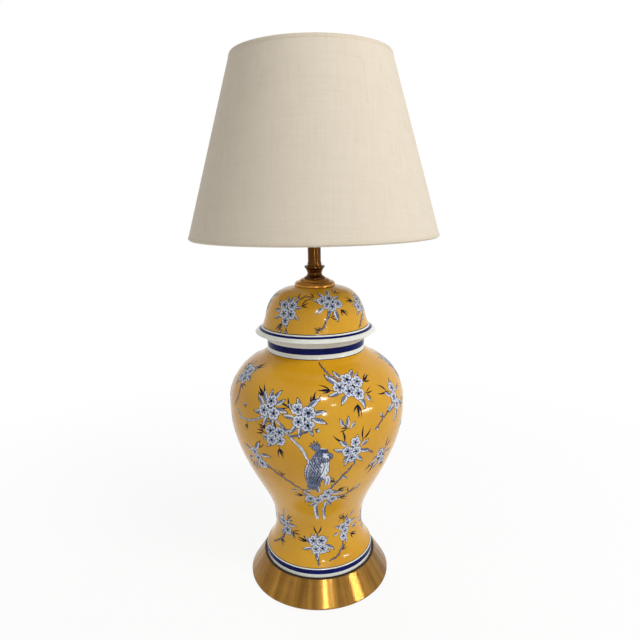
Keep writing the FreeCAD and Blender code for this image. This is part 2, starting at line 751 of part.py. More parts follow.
def thread_wave(mean_r, low):
    """A rolled thread drawn as plain rings, so that the bulb can turn in the socket."""
    points = [(mean_r, low)]
    for k in range(2 * THREAD_TURNS):
        side = 1 if k % 2 else -1
        half = THREAD_PITCH / 2
        points.append((mean_r + side * THREAD_DEPTH, low + half * (k + 0.5)))
        points.append((mean_r, low + half * (k + 1)))
    return points


def screw_shell():
    inner = thread_wave(THREAD_MEAN_R + THREAD_GAP, THREAD_Z)
    outer = thread_wave(THREAD_MEAN_R + THREAD_GAP + SCREW_SHELL_T, THREAD_Z)
    inner_foot = (inner[0][0], INTERIOR_TOP_Z)
    outer_foot = (outer[0][0], INTERIOR_TOP_Z)
    edges = arcs_through(inner) + arcs_through(outer) + [line(inner[-1], outer[-1])]
    edges += lines([inner[0], inner_foot, outer_foot, outer[0]])
    return turned(edges)


def centre_contact():
    half = THREAD_MEAN_R - 4
    z = INTERIOR_TOP_Z
    outline = [
        (-half, z), (-half + 4, z), (0, z + CONTACT_RISE), (half - 4, z + CONTACT_RISE),
        (half - 4, z + CONTACT_RISE + CONTACT_T), (-CONTACT_T, z + CONTACT_RISE + CONTACT_T),
        (-half + 4 - CONTACT_T, z + CONTACT_T), (-half, z + CONTACT_T), (-half, z),
    ]
    face = Part.Face(Part.makePolygon([at(*p) for p in outline]))
    strip = face.extrude(Vector(0, CONTACT_W, 0))
    return strip.translated(Vector(0, -CONTACT_W / 2, 0))


def switch_parts():
    knob_y = SHELL_R + KNOB_OUT
    shaft_y = INTERIOR_R - SHAFT_SINK
    knob_end_y = knob_y + KNOB_L
    knob = to_the_front(KNOB_R, knob_y, knob_end_y)
    bevel = KNOB_R / 6
    knob = knob.makeChamfer(bevel, [e for e in knob.Edges if abs(e.CenterOfMass.y + knob_end_y) < 0.01])
    for k in range(KNOB_FLUTES):
        turn = 2 * math.pi * k / KNOB_FLUTES
        x = KNOB_R * 1.04 * math.cos(turn)
        z = KNOB_AXIS_Z + KNOB_R * 1.04 * math.sin(turn)
        flute = round_bar(KNOB_R / 8, Vector(x, -knob_y - bevel, z), Vector(x, -knob_end_y - 1, z))
        knob = knob.cut(flute)
    hole = to_the_front(KNOB_SHAFT_R, knob_y - 1, knob_y + KNOB_L * 0.7)
    return {
        "switch_shaft": to_the_front(KNOB_SHAFT_R, shaft_y, knob_y + KNOB_L * 0.7),
        "switch_knob": knob.cut(hole),
    }


def socket_parts():
    parts = {
        "socket_lock_nut": hexagon(NUT_FLATS - 2, ROD_R, SADDLE_TOP_Z, SOCKET_Z),
        "socket_cap": socket_cap(),
        "socket_set_screw": set_screw(SET_SCREW_R),
        "socket_shell": socket_shell(),
        "socket_liner": socket_liner(),
        "socket_interior": socket_interior(),
        "terminal_screws": terminal_screws(),
        "screw_shell": screw_shell(),
        "centre_contact": centre_contact(),
    }
    parts.update(switch_parts())
    return parts


# ---- bulb

def bulb_parts():
    wave = thread_wave(THREAD_MEAN_R, THREAD_Z)
    skirt_r = wave[-1][0]
    base_in_r = THREAD_MEAN_R - THREAD_DEPTH - SCREW_SHELL_T
    foot_r = wave[0][0]
    base_edges = arcs_through(wave)
    base_edges += lines([
        wave[-1],
        (skirt_r, BULB_BODY_Z),
        (base_in_r, BULB_BODY_Z),
        (base_in_r, THREAD_Z),
        wave[0],
    ])
    insulator_z = BULB_Z + BULB_TIP_H
    insulator = lathe([
        (0, insulator_z), (BULB_TIP_R + 1, insulator_z), (foot_r, THREAD_Z), (0, THREAD_Z),
    ])
    tip = disc(BULB_TIP_R, BULB_Z, insulator_z)
    body = lathe([
        (0, BULB_BODY_Z),
        (skirt_r + 1, BULB_BODY_Z),
        (skirt_r + 2, BULB_BODY_Z + 3),
        (BULB_BODY_TOP_R, GLOBE_Z - 2),
        (BULB_BODY_TOP_R, GLOBE_Z),
        (0, GLOBE_Z),
    ])
    wall = BULB_GLOBE_WALL
    low_r = BULB_BODY_TOP_R
    high = GLOBE_Z + BULB_GLOBE_H
    belly_z = GLOBE_Z + BULB_GLOBE_H - BULB_R
    globe = turned([
        smooth([(low_r, GLOBE_Z), (BULB_R, belly_z)], (1, 6), (0, 1)).toShape(),
        arc((BULB_R, belly_z), (BULB_R * math.sqrt(0.5), belly_z + BULB_R * math.sqrt(0.5)), (0, high)),
        line((0, high), (0, high - wall)),
        arc(
            (0, high - wall),
            ((BULB_R - wall) * math.sqrt(0.5), belly_z + (BULB_R - wall) * math.sqrt(0.5)),
            (BULB_R - wall, belly_z),
        ),
        smooth([(BULB_R - wall, belly_z), (low_r - wall, GLOBE_Z)], (0, -1), (-1, -6)).toShape(),
        line((low_r - wall, GLOBE_Z), (low_r, GLOBE_Z)),
    ])
    return {
        "bulb_screw_base": turned(base_edges),
        "bulb_insulator": insulator,
        "bulb_contact": tip,
        "bulb_body": body,
        "bulb_globe": globe,
    }


# ---- shade

def shade_point(along, depth):
    """A point of the shade's wall: along the slope from the top edge, and inwards from the outer face."""
    slope = math.hypot(SHADE_BOTTOM_R - SHADE_TOP_R, SHADE_H)
    out = (SHADE_BOTTOM_R - SHADE_TOP_R) / slope
    down = SHADE_H / slope
    return (SHADE_TOP_R + along * out - depth * down, SHADE_TOP_Z - along * down - depth * out)


def shade_slope():
    return math.hypot(SHADE_BOTTOM_R - SHADE_TOP_R, SHADE_H)


def shade_fabric():
    """Linen on the outer face, turned in over a wire ring at each end."""
    roll = HEM_ROLL_R
    slope = shade_slope()

    def here(from_end, depth, at_top):
        return shade_point(from_end if at_top else slope - from_end, depth)

    edges = []
    for top in (True, False):
        edges += [
            arc(here(roll, 0, top), here(0, roll, top), here(roll, 2 * roll, top)),
            line(here(roll, 2 * roll, top), here(roll + HEM_W, HEM_LOW + LINEN_T, top)),
            line(here(roll + HEM_W, HEM_LOW + LINEN_T, top), here(roll + HEM_W, HEM_LOW, top)),
            line(here(roll + HEM_W, HEM_LOW, top), here(roll, 2 * roll - LINEN_T, top)),
            arc(here(roll, 2 * roll - LINEN_T, top), here(LINEN_T, roll, top), here(roll, LINEN_T, top)),
        ]
    edges += [
        line(here(roll, 0, True), here(roll, 0, False)),
        line(here(roll, LINEN_T, True), here(roll, LINEN_T, False)),
    ]
    return turned(edges)


def shade_liner():
    inset_end = HEM_ROLL_R + RING_WIRE_R + LAY_GAP
    slope = shade_slope()
    return lathe([
        shade_point(inset_end, LINEN_T),
        shade_point(slope - inset_end, LINEN_T),
        shade_point(slope - inset_end, LINEN_T + LINER_SHEET_T),
        shade_point(inset_end, LINEN_T + LINER_SHEET_T),
    ])


def shade_ring(along):
    radius, z = shade_point(along, HEM_ROLL_R)
    return Part.makeTorus(radius, RING_WIRE_R, at(0, z), UP)


def shade_spider():
    """Washer and arms, as far as the inside of the top hem."""
    washer = ring(SPIDER_WASHER_R, SPIDER_HOLE_R, SPIDER_Z, SPIDER_Z + SPIDER_WASHER_T)
    start_r = (SPIDER_WASHER_R + FINIAL_BASE_R) / 2
    end_r, end_z = shade_point(HEM_ROLL_R + RING_WIRE_R, 2 * HEM_ROLL_R)
    arms = []
    for k in range(SPIDER_ARMS):
        turn = math.pi / 2 + 2 * math.pi * k / SPIDER_ARMS
        way = Vector(math.cos(turn), math.sin(turn), 0)
        start = way * start_r + Vector(0, 0, SPIDER_Z + SPIDER_WIRE_R)
        end = way * (end_r + SPIDER_WIRE_R) + Vector(0, 0, end_z)
        arms.append(round_bar(SPIDER_WIRE_R, start, end))
    return washer.fuse(arms).removeSplitter().common(room_inside_hem())


def room_inside_hem():
    hem_end = shade_point(HEM_ROLL_R + HEM_W, HEM_LOW + LINEN_T + SLIP_GAP)
    hem_top = shade_point(HEM_ROLL_R, 2 * HEM_ROLL_R + SLIP_GAP)
    return lathe([
        (0, hem_end[1]), hem_end, hem_top, (hem_top[0], SHADE_TOP_Z), (0, SHADE_TOP_Z),
    ])


def shade_parts():
    return {
        "shade_fabric": shade_fabric(),
        "shade_liner": shade_liner(),
        "shade_top_ring": shade_ring(HEM_ROLL_R),
        "shade_bottom_ring": shade_ring(shade_slope() - HEM_ROLL_R),
        "shade_spider": shade_spider(),
    }


# ---- finial

def finial():
    neck_z = FINIAL_Z + FINIAL_BASE_H
    ball_low_z = neck_z + FINIAL_NECK_H
    half_neck = math.sqrt(FINIAL_BALL_R ** 2 - FINIAL_NECK_R ** 2)
    ball_z = ball_low_z + half_neck
    tip_r = FINIAL_NECK_R / 2
    tip_half = math.sqrt(FINIAL_BALL_R ** 2 - tip_r ** 2)
    tip_z = ball_z + tip_half
    bore_r = STUD_R + SLIP_GAP
    bore_top = HARP_SEAT_Z + STUD_L + 1
    edges = lines([
        (bore_r, FINIAL_Z), (FINIAL_BASE_R, FINIAL_Z), (FINIAL_BASE_R, neck_z), (FINIAL_NECK_R, neck_z),
        (FINIAL_NECK_R, ball_low_z),
    ])
    edges += [arc((FINIAL_NECK_R, ball_low_z), (FINIAL_BALL_R, ball_z), (tip_r, tip_z))]
    edges += lines([
        (tip_r, tip_z), (tip_r, tip_z + FINIAL_TIP_H / 2), (tip_r / 2, tip_z + FINIAL_TIP_H),
        (0, tip_z + FINIAL_TIP_H), (0, bore_top), (bore_r, bore_top), (bore_r, FINIAL_Z),
    ])
    return turned(edges)


def all_parts():
    groups = [
        base_parts, porcelain_parts, brass_parts, harp_parts, socket_parts, bulb_parts, shade_parts,
    ]
    parts = {"finial": finial()}
    for group in groups:
        parts.update(group())
    return parts


def main():
    os.makedirs("parts", exist_ok=True)
    for name, shape in all_parts().items():
        solids = shape.Solids
        kept = solids[0] if len(solids) == 1 else Part.makeCompound(solids)
        kept.exportStep("parts/" + name + ".step")
        box = kept.BoundBox
        print(f"{name}: {len(solids)} solid(s), valid {kept.isValid()}, {kept.Volume / 1000:.2f} cm3, "
              f"z {box.ZMin:.2f} to {box.ZMax:.2f}, x {box.XMin:.2f} to {box.XMax:.2f}")


main()
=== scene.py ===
import json
import math
import random

import bmesh
import bpy
from mathutils import Matrix, Vector

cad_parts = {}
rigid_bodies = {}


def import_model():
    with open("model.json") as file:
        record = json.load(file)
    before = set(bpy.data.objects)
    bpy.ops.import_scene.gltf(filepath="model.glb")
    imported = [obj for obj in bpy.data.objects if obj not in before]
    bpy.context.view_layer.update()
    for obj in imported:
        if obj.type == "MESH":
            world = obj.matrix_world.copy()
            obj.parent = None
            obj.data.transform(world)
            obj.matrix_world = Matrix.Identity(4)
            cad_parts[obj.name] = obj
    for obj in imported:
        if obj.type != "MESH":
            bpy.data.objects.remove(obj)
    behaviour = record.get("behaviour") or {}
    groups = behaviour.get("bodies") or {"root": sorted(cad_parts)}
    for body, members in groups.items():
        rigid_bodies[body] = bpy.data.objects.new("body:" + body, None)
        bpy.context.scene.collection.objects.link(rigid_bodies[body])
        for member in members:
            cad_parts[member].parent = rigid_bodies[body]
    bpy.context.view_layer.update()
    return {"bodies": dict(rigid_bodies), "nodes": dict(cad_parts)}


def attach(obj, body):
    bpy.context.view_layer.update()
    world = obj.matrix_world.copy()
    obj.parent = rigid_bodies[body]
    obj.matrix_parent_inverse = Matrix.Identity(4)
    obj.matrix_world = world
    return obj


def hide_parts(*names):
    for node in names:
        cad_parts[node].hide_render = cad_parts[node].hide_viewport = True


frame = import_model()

# A ginger jar table lamp. Sizes are in metres; mm turns a size in millimetres into metres.
# An angle round the lamp is measured from the front (-Y) and grows towards the right (+X).

mm = 0.001
weld = 0.001 * mm
tiny = 1e-9
sharpEdge = math.radians(35)
nodes = frame["nodes"]
scene = bpy.context.scene

for leftover in [o for o in bpy.data.objects if o not in [*nodes.values(), *frame["bodies"].values()]]:
    bpy.data.objects.remove(leftover)


# Small tools for node trees

def put(tree, kind, inputs=None, **settings):  # one node, its settings, and values or links on its sockets
    node = tree.nodes.new(kind)
    for key, value in settings.items():
        setattr(node, key, value)
    for key, value in (inputs or {}).items():
        if isinstance(value, bpy.types.NodeSocket):
            tree.links.new(value, node.inputs[key])
        else:
            node.inputs[key].default_value = value
    return node


def maths(tree, operation, first, second=0.0):
    return put(tree, "ShaderNodeMath", {0: first, 1: second}, operation=operation).outputs[0]


def vectorMaths(tree, operation, first, second=(0, 0, 0)):
    return put(tree, "ShaderNodeVectorMath", {0: first, 1: second}, operation=operation).outputs[0]


def joined(tree, x=0.0, y=0.0, z=0.0):
    return put(tree, "ShaderNodeCombineXYZ", {0: x, 1: y, 2: z}).outputs[0]


def apart(tree, vector):
    return put(tree, "ShaderNodeSeparateXYZ", {0: vector}).outputs


def noise(tree, place, scale, detail=2.0, rough=0.5):
    sockets = {"Vector": place, "Scale": scale, "Detail": detail, "Roughness": rough}
    return put(tree, "ShaderNodeTexNoise", sockets).outputs[0]


def times(tree, first, second):
    return maths(tree, "MULTIPLY", first, second)


def plus(tree, first, second):
    return maths(tree, "ADD", first, second)


def remap(tree, value, low, high, newLow=0.0, newHigh=1.0):
    sockets = {0: value, 1: low, 2: high, 3: newLow, 4: newHigh}
    return put(tree, "ShaderNodeMapRange", sockets, clamp=True).outputs[0]


def newGroup(name, kind, inputs, outputs):
    tree = bpy.data.node_groups.new(name, kind)
    for label, socket, value in inputs:
        made = tree.interface.new_socket(label, in_out="INPUT", socket_type="NodeSocket" + socket)
        if value is not None:
            made.default_value = value
    for label, socket in outputs:
        tree.interface.new_socket(label, in_out="OUTPUT", socket_type="NodeSocket" + socket)
    return tree, tree.nodes.new("NodeGroupInput").outputs, tree.nodes.new("NodeGroupOutput").inputs


def grouped(tree, group, inputs):  # a shared effect, with this finish's own values
    return put(tree, "ShaderNodeGroup", inputs, node_tree=group).outputs


def mixed(tree, share, low, high):
    return put(tree, "ShaderNodeMix", {0: share, 6: low, 7: high}, data_type="RGBA").outputs[2]


def paint(red, green, blue):  # an 8-bit colour, as the shaders want it
    def linear(part):
        return part / 12.92 if part <= 0.04045 else ((part + 0.055) / 1.055) ** 2.4
    return (linear(red / 255), linear(green / 255), linear(blue / 255), 1.0)


# Effects that several finishes share

def makeTurnedMetal():  # rings left by the lathe, strokes of the polishing brush up the wall, and tarnish
    tree, given, result = newGroup(
        "turnedMetal", "ShaderNodeTree",
        [("Place", "Vector", None), ("Rings", "Float", 0.5), ("Strokes", "Float", 0.5),
         ("Tarnish", "Float", 0.5)],
        [("Tone", "Float"), ("Rough", "Float"), ("Height", "Float")])
    ringsPerMetre, strokesAround, strokesUp = 1500.0, 9, 6.0
    x, y, z = apart(tree, given["Place"])
    radius = maths(tree, "SQRT", plus(tree, times(tree, x, x), times(tree, y, y)))
    heading = vectorMaths(tree, "NORMALIZE", joined(tree, x, y))
    around = vectorMaths(tree, "MULTIPLY", heading, (strokesAround, strokesAround, 0))
    up = joined(tree, z=times(tree, z, strokesUp))
    strokes = noise(tree, vectorMaths(tree, "ADD", around, up), 1.0, 3.0, 0.55)
    lathe = joined(tree, times(tree, radius, ringsPerMetre), times(tree, z, ringsPerMetre))
    rings = noise(tree, lathe, 1.0, 2.0, 0.6)
    stains = noise(tree, given["Place"], 38.0, 5.0, 0.62)
    ringPart = times(tree, maths(tree, "SUBTRACT", rings, 0.5), given["Rings"])
    strokePart = times(tree, maths(tree, "SUBTRACT", strokes, 0.5), given["Strokes"])
    stainPart = times(tree, maths(tree, "SUBTRACT", stains, 0.5), given["Tarnish"])
    marks = plus(tree, ringPart, strokePart)
    tree.links.new(plus(tree, plus(tree, marks, stainPart), 0.5), result["Tone"])
    tree.links.new(plus(tree, times(tree, stainPart, -0.5), 0.5), result["Rough"])
    tree.links.new(plus(tree, marks, 0.5), result["Height"])
    return tree


def makeGlazeSkin():  # pooled colour, the faint waviness of fired glaze, and a few pinholes
    tree, given, result = newGroup(
        "glazeSkin", "ShaderNodeTree",
        [("Place", "Vector", None), ("Cloud Scale", "Float", 9.0), ("Pinholes", "Float", 0.5)],
        [("Pool", "Float"), ("Pinhole", "Float"), ("Height", "Float")])
    clouds = noise(tree, given["Place"], given["Cloud Scale"], 3.0, 0.55)
    specks = noise(tree, given["Place"], 210.0, 2.0, 0.5)
    waves = noise(tree, given["Place"], 46.0, 2.0, 0.5)
    grid = {"Vector": given["Place"], "Scale": 95.0}
    cells = put(tree, "ShaderNodeTexVoronoi", grid, feature="F1").outputs[0]
    hole = times(tree, remap(tree, cells, 0.05, 0.085, 1.0, 0.0), given["Pinholes"])
    pool = plus(tree, times(tree, clouds, 0.85), times(tree, specks, 0.15))
    tree.links.new(remap(tree, pool, 0.32, 0.68), result["Pool"])
    tree.links.new(hole, result["Pinhole"])
    height = maths(tree, "SUBTRACT", waves, times(tree, hole, 0.25))
    tree.links.new(height, result["Height"])
    return tree


def makeWovenLinen():  # plain weave with uneven yarns; Place is the flat cloth in metres
    tree, given, result = newGroup(
        "wovenLinen", "ShaderNodeTree",
        [("Place", "Vector", None), ("Yarns per Metre", "Float", 1500.0)],
        [("Tone", "Float"), ("Slub", "Float"), ("Height", "Float")])
    across, along, _ = apart(tree, given["Place"])

    def yarns(run, side):  # rounded threads across run; side shifts them a little, as loose yarns lie
        sway = noise(tree, joined(tree, times(tree, run, 260.0), times(tree, side, 60.0)), 1.0, 1.0)
        phase = times(tree, times(tree, run, given["Yarns per Metre"]), math.pi)
        return maths(tree, "ABSOLUTE", maths(tree, "SINE", plus(tree, phase, times(tree, sway, 5.0))))

    def streaks(fine, long, seed):  # one yarn thicker or darker than the next, over a hand's length
        place = joined(tree, times(tree, fine, 420.0), times(tree, long, 14.0), seed)
        return noise(tree, place, 1.0, 3.0, 0.75)

    upright, level = yarns(across, along), yarns(along, across)
    uprightTone, levelTone = streaks(across, along, 3.1), streaks(along, across, 8.7)
    weave = maths(tree, "MAXIMUM", times(tree, upright, 0.92), level)
    mottle = noise(tree, given["Place"], 60.0, 4.0, 0.6)
    tone = plus(tree, times(tree, plus(tree, uprightTone, levelTone), 0.40), times(tree, mottle, 0.20))
    tree.links.new(remap(tree, tone, 0.36, 0.64), result["Tone"])
    tree.links.new(remap(tree, maths(tree, "MAXIMUM", uprightTone, levelTone), 0.60, 0.74), result["Slub"])
    tree.links.new(plus(tree, times(tree, weave, 0.7), times(tree, tone, 0.6)), result["Height"])
    return tree


def makeFineGrain():  # a speckled, slightly uneven skin
    tree, given, result = newGroup(
        "fineGrain", "ShaderNodeTree",
        [("Place", "Vector", None), ("Scale", "Float", 400.0), ("Stretch", "Vector", (1, 1, 1))],
        [("Tone", "Float"), ("Height", "Float")])
    place = vectorMaths(tree, "MULTIPLY", given["Place"], given["Stretch"])
    fine = noise(tree, place, given["Scale"], 3.0, 0.6)
    coarse = noise(tree, place, times(tree, given["Scale"], 0.11), 3.0, 0.55)
    tone = plus(tree, times(tree, fine, 0.5), times(tree, coarse, 0.5))
    tree.links.new(remap(tree, tone, 0.36, 0.64), result["Tone"])
    tree.links.new(fine, result["Height"])
    return tree


turnedMetal = makeTurnedMetal()
glazeSkin = makeGlazeSkin()
wovenLinen = makeWovenLinen()
fineGrain = makeFineGrain()


# Finishes

def newFinish(name, surface):
    material = bpy.data.materials.new(name)
    material.use_nodes = True
    tree = material.node_tree
    shader = tree.nodes["Principled BSDF"]
    for socket, value in surface.items():
        shader.inputs[socket].default_value = value
    place = put(tree, "ShaderNodeTexCoord").outputs["Object"]
    return material, tree, shader, place


def colourBetween(tree, shader, share, low, high):
    tree.links.new(mixed(tree, share, low, high), shader.inputs["Base Color"])


def bumped(tree, shader, height, depth):
    bump = put(tree, "ShaderNodeBump", {"Height": height, "Distance": depth})
    tree.links.new(bump.outputs[0], shader.inputs["Normal"])


def glaze(name, thin, thick, look):
    surface = {"Specular IOR Level": look["shine"], "Coat Weight": look["coat"],
               "Coat Roughness": look["coatRoughness"]}
    material, tree, shader, place = newFinish(name, surface)
    skin = grouped(tree, glazeSkin, {"Place": place, "Cloud Scale": look["clouds"],
                                     "Pinholes": look["pinholes"]})
    pooled = mixed(tree, skin["Pool"], thin, thick)
    colourBetween(tree, shader, skin["Pinhole"], pooled, look["speck"])
    rough = remap(tree, skin["Pool"], 0.0, 1.0, look["roughness"] * 0.85, look["roughness"] * 1.2)
    tree.links.new(rough, shader.inputs["Roughness"])
    bumped(tree, shader, skin["Height"], look["wave"])
    return material


def metal(name, dark, bright, look):
    surface = {"Metallic": 1.0, "Anisotropic": look["spun"], "Anisotropic Rotation": 0.25}
    material, tree, shader, place = newFinish(name, surface)
    around = put(tree, "ShaderNodeTangent", direction_type="RADIAL", axis="Z").outputs[0]
    tree.links.new(around, shader.inputs["Tangent"])
    marks = grouped(tree, turnedMetal, {"Place": place, "Rings": look["rings"], "Strokes": look["strokes"],
                                        "Tarnish": look["tarnish"]})
    colourBetween(tree, shader, remap(tree, marks["Tone"], look["low"], look["high"]), dark, bright)
    rough = remap(tree, marks["Rough"], 0.3, 0.7, look["roughness"] * 0.75, look["roughness"] * 1.3)
    tree.links.new(rough, shader.inputs["Roughness"])
    bumped(tree, shader, marks["Height"], look["depth"])
    return material


def grained(name, dark, bright, look):
    material, tree, shader, place = newFinish(name, {"Sheen Weight": look.get("sheen", 0.0)})
    grain = grouped(tree, fineGrain, {"Place": place, "Scale": look["scale"],
                                      "Stretch": look.get("stretch", (1, 1, 1))})
    colourBetween(tree, shader, grain["Tone"], dark, bright)
    rough = remap(tree, grain["Tone"], 0.0, 1.0, look["roughness"] * 0.85, look["roughness"] * 1.1)
    tree.links.new(rough, shader.inputs["Roughness"])
    bumped(tree, shader, grain["Height"], look["depth"])
    return material


def linen(name, dark, light, look):
    material, tree, shader, _ = newFinish(name, {"Sheen Weight": look["sheen"], "Sheen Roughness": 0.6})
    cloth = put(tree, "ShaderNodeUVMap", uv_map="flatCloth").outputs[0]
    weave = grouped(tree, wovenLinen, {"Place": cloth, "Yarns per Metre": look["yarns"]})
    body = mixed(tree, weave["Tone"], dark, light)
    colourBetween(tree, shader, times(tree, weave["Slub"], look["slubs"]), body, look["slubColour"])
    rough = remap(tree, weave["Tone"], 0.0, 1.0, 0.95, 0.82)
    tree.links.new(rough, shader.inputs["Roughness"])
    bumped(tree, shader, weave["Height"], look["depth"])
    return material


glazeLook = {"shine": 0.22, "coat": 0.1, "coatRoughness": 0.03, "roughness": 0.14, "clouds": 9.0,
             "pinholes": 0.35, "wave": 0.05 * mm, "speck": paint(120, 78, 20)}
whiteLook = {**glazeLook, "pinholes": 0.2, "speck": paint(150, 140, 120), "clouds": 20.0}
inkLook = {**glazeLook, "pinholes": 0.0, "clouds": 60.0, "wave": 0.02 * mm, "shine": 0.07, "coat": 0.0}
metalLook = {"rings": 0.5, "strokes": 0.3, "tarnish": 0.6, "low": 0.1, "high": 0.9, "roughness": 0.3,
             "depth": 0.01 * mm, "spun": 0.0}
finishes = {
    "yellowGlaze": glaze("yellow_glaze", paint(218, 165, 40), paint(200, 143, 20), glazeLook),
    "whiteGlaze": glaze("white_glaze", paint(232, 236, 230), paint(218, 222, 214), whiteLook),
    "cobaltGlaze": glaze("cobalt_glaze", paint(14, 24, 100), paint(4, 9, 70), inkLook),
    "inkLine": glaze("navy_line", paint(26, 29, 54), paint(9, 11, 30), inkLook),
    "palePetal": glaze("pale_petal", paint(233, 237, 245), paint(206, 214, 230), inkLook),
    "blueWash": glaze("blue_wash", paint(134, 144, 172), paint(86, 97, 130), inkLook),
    "plinthBrass": metal("spun_brass", paint(86, 53, 15), paint(182, 136, 66),
                         {**metalLook, "rings": 0.35, "strokes": 1.1, "tarnish": 0.4, "high": 0.95,
                          "roughness": 0.25, "depth": 0.015 * mm, "spun": 0.8}),
    # the vase cap's brass: the same aged brass as the tube and spindle, made lighter as painted light for the
    # soft highlight on the cap
    "capBrassPaintedLight": metal("worn_brass", paint(104, 66, 22), paint(206, 146, 64),
                      {**metalLook, "strokes": 0.5, "tarnish": 1.0, "depth": 0.02 * mm, "spun": 0.4}),
    # the same brass on the spindle, tube, ferrule, rod cap and finial, darker than on the vase cap: aged in
    # part, and painted shade in part
    "agedBrassPaintedShade": metal("aged_brass", paint(40, 23, 8), paint(104, 65, 27),
                       {**metalLook, "strokes": 0.4, "tarnish": 1.1, "depth": 0.02 * mm, "spun": 0.5}),
    "harpBrass": metal("harp_brass", paint(150, 116, 58), paint(214, 178, 108),
                       {**metalLook, "rings": 0.2, "roughness": 0.25}),
    "socketBrass": metal("socket_brass", paint(160, 124, 62), paint(220, 186, 112),
                         {**metalLook, "rings": 0.4, "tarnish": 0.5, "roughness": 0.22}),
    "zincSteel": metal("zinc_steel", paint(120, 120, 118), paint(190, 190, 186),
                       {**metalLook, "rings": 0.6, "strokes": 0.4, "tarnish": 0.7,
                        "roughness": 0.35, "depth": 0.02 * mm}),
    "aluminium": metal("pressed_aluminium", paint(150, 150, 150), paint(206, 206, 204),
                       {**metalLook, "rings": 0.3, "strokes": 0.2, "tarnish": 0.4, "roughness": 0.28}),
    "castIron": grained("painted_iron", paint(26, 26, 27), paint(48, 47, 46),
                        {"scale": 500.0, "roughness": 0.6, "depth": 0.12 * mm}),
    "darkPlastic": grained("dark_plastic", paint(20, 18, 17), paint(34, 31, 29),
                           {"scale": 900.0, "roughness": 0.38, "depth": 0.01 * mm}),
    "rubber": grained("gasket_rubber", paint(26, 16, 12), paint(48, 32, 24),
                      {"scale": 700.0, "roughness": 0.7, "depth": 0.03 * mm}),
    "felt": grained("green_felt", paint(30, 56, 42), paint(54, 84, 64),
                    {"scale": 900.0, "roughness": 0.95, "depth": 0.2 * mm, "sheen": 0.4}),
    "board": grained("grey_board", paint(120, 104, 84), paint(158, 140, 116),
                     {"scale": 260.0, "roughness": 0.85, "depth": 0.05 * mm, "stretch": (1, 5, 1)}),
    "card": grained("fibre_card", paint(150, 122, 86), paint(186, 158, 118),
                    {"scale": 500.0, "roughness": 0.8, "depth": 0.03 * mm, "stretch": (1, 1, 4)}),
    "bulbPlastic": grained("bulb_plastic", paint(222, 222, 220), paint(236, 236, 234),
                           {"scale": 800.0, "roughness": 0.35, "depth": 0.005 * mm}),
    "liner": grained("shade_backing", paint(226, 222, 212), paint(242, 239, 231),
                     {"scale": 420.0, "roughness": 0.75, "depth": 0.02 * mm}),
    "linen": linen("shade_linen", paint(211, 200, 181), paint(220, 209, 191),
                   {"sheen": 0.1, "yarns": 1400.0, "slubs": 0.16, "slubColour": paint(188, 173, 150),
                    "depth": 0.1 * mm}),
    # slightly darker linen: darker yarn for the slubs, also used on the lapped seam, and painted shade on the
    # rolled hems
    "linenSlubAndShade": linen("linen_edge", paint(206, 194, 174), paint(217, 205, 186),
                       {"sheen": 0.1, "yarns": 1400.0, "slubs": 0.2, "slubColour": paint(184, 169, 146),
                        "depth": 0.1 * mm}),
}


def frostedGlass():  # the bulb's white dome: milky, slightly translucent
    surface = {"Roughness": 0.5, "Subsurface Weight": 0.25, "Subsurface Scale": 4 * mm, "Coat Weight": 0.15}
    material, tree, shader, place = newFinish("frosted_glass", surface)
    grain = grouped(tree, fineGrain, {"Place": place, "Scale": 900.0})
    colourBetween(tree, shader, grain["Tone"], paint(234, 233, 228), paint(244, 243, 239))
    bumped(tree, shader, grain["Height"], 0.01 * mm)
    return material


finishes["frostedGlass"] = frostedGlass()
print("finishes:", len(finishes))


# Outlines of the turned pieces, read from the frame

def sectionOf(nodeName):  # the half section of a turned node, as (radius, height) points in order
    cut = bmesh.new()
    cut.from_mesh(nodes[nodeName].data)
    bmesh.ops.remove_doubles(cut, verts=cut.verts, dist=weld)
    made = bmesh.ops.bisect_plane(cut, geom=cut.verts[:] + cut.edges[:] + cut.faces[:], dist=weld,
                                  plane_co=(0, 0, 0), plane_no=(0, 1, 0))
    neighbours = {}
    for edge in made["geom_cut"]:
        if isinstance(edge, bmesh.types.BMEdge) and sum(v.co.x for v in edge.verts) > weld:
            one, other = edge.verts
            neighbours.setdefault(one, []).append(other)
            neighbours.setdefault(other, []).append(one)
    best = []
    while neighbours:
        ends = [v for v in neighbours if len(neighbours[v]) == 1]
        chain = [ends[0] if ends else next(iter(neighbours))]
        while True:
            ways = [v for v in neighbours[chain[-1]] if v not in chain[-2:] and v is not chain[0]]
            if not ways:
                break
            chain.append(ways[0])
        for vertex in chain:
            neighbours.pop(vertex, None)
        for vertex in neighbours:
            neighbours[vertex] = [v for v in neighbours[vertex] if v in neighbours]
        neighbours = {v: near for v, near in neighbours.items() if near}
        if len(chain) > len(best):
            best = chain
    outline = [(max(v.co.x, 0.0), v.co.z) for v in best]
    cut.free()
    return outline


def distance(one, other):
    return math.hypot(other[0] - one[0], other[1] - one[1])


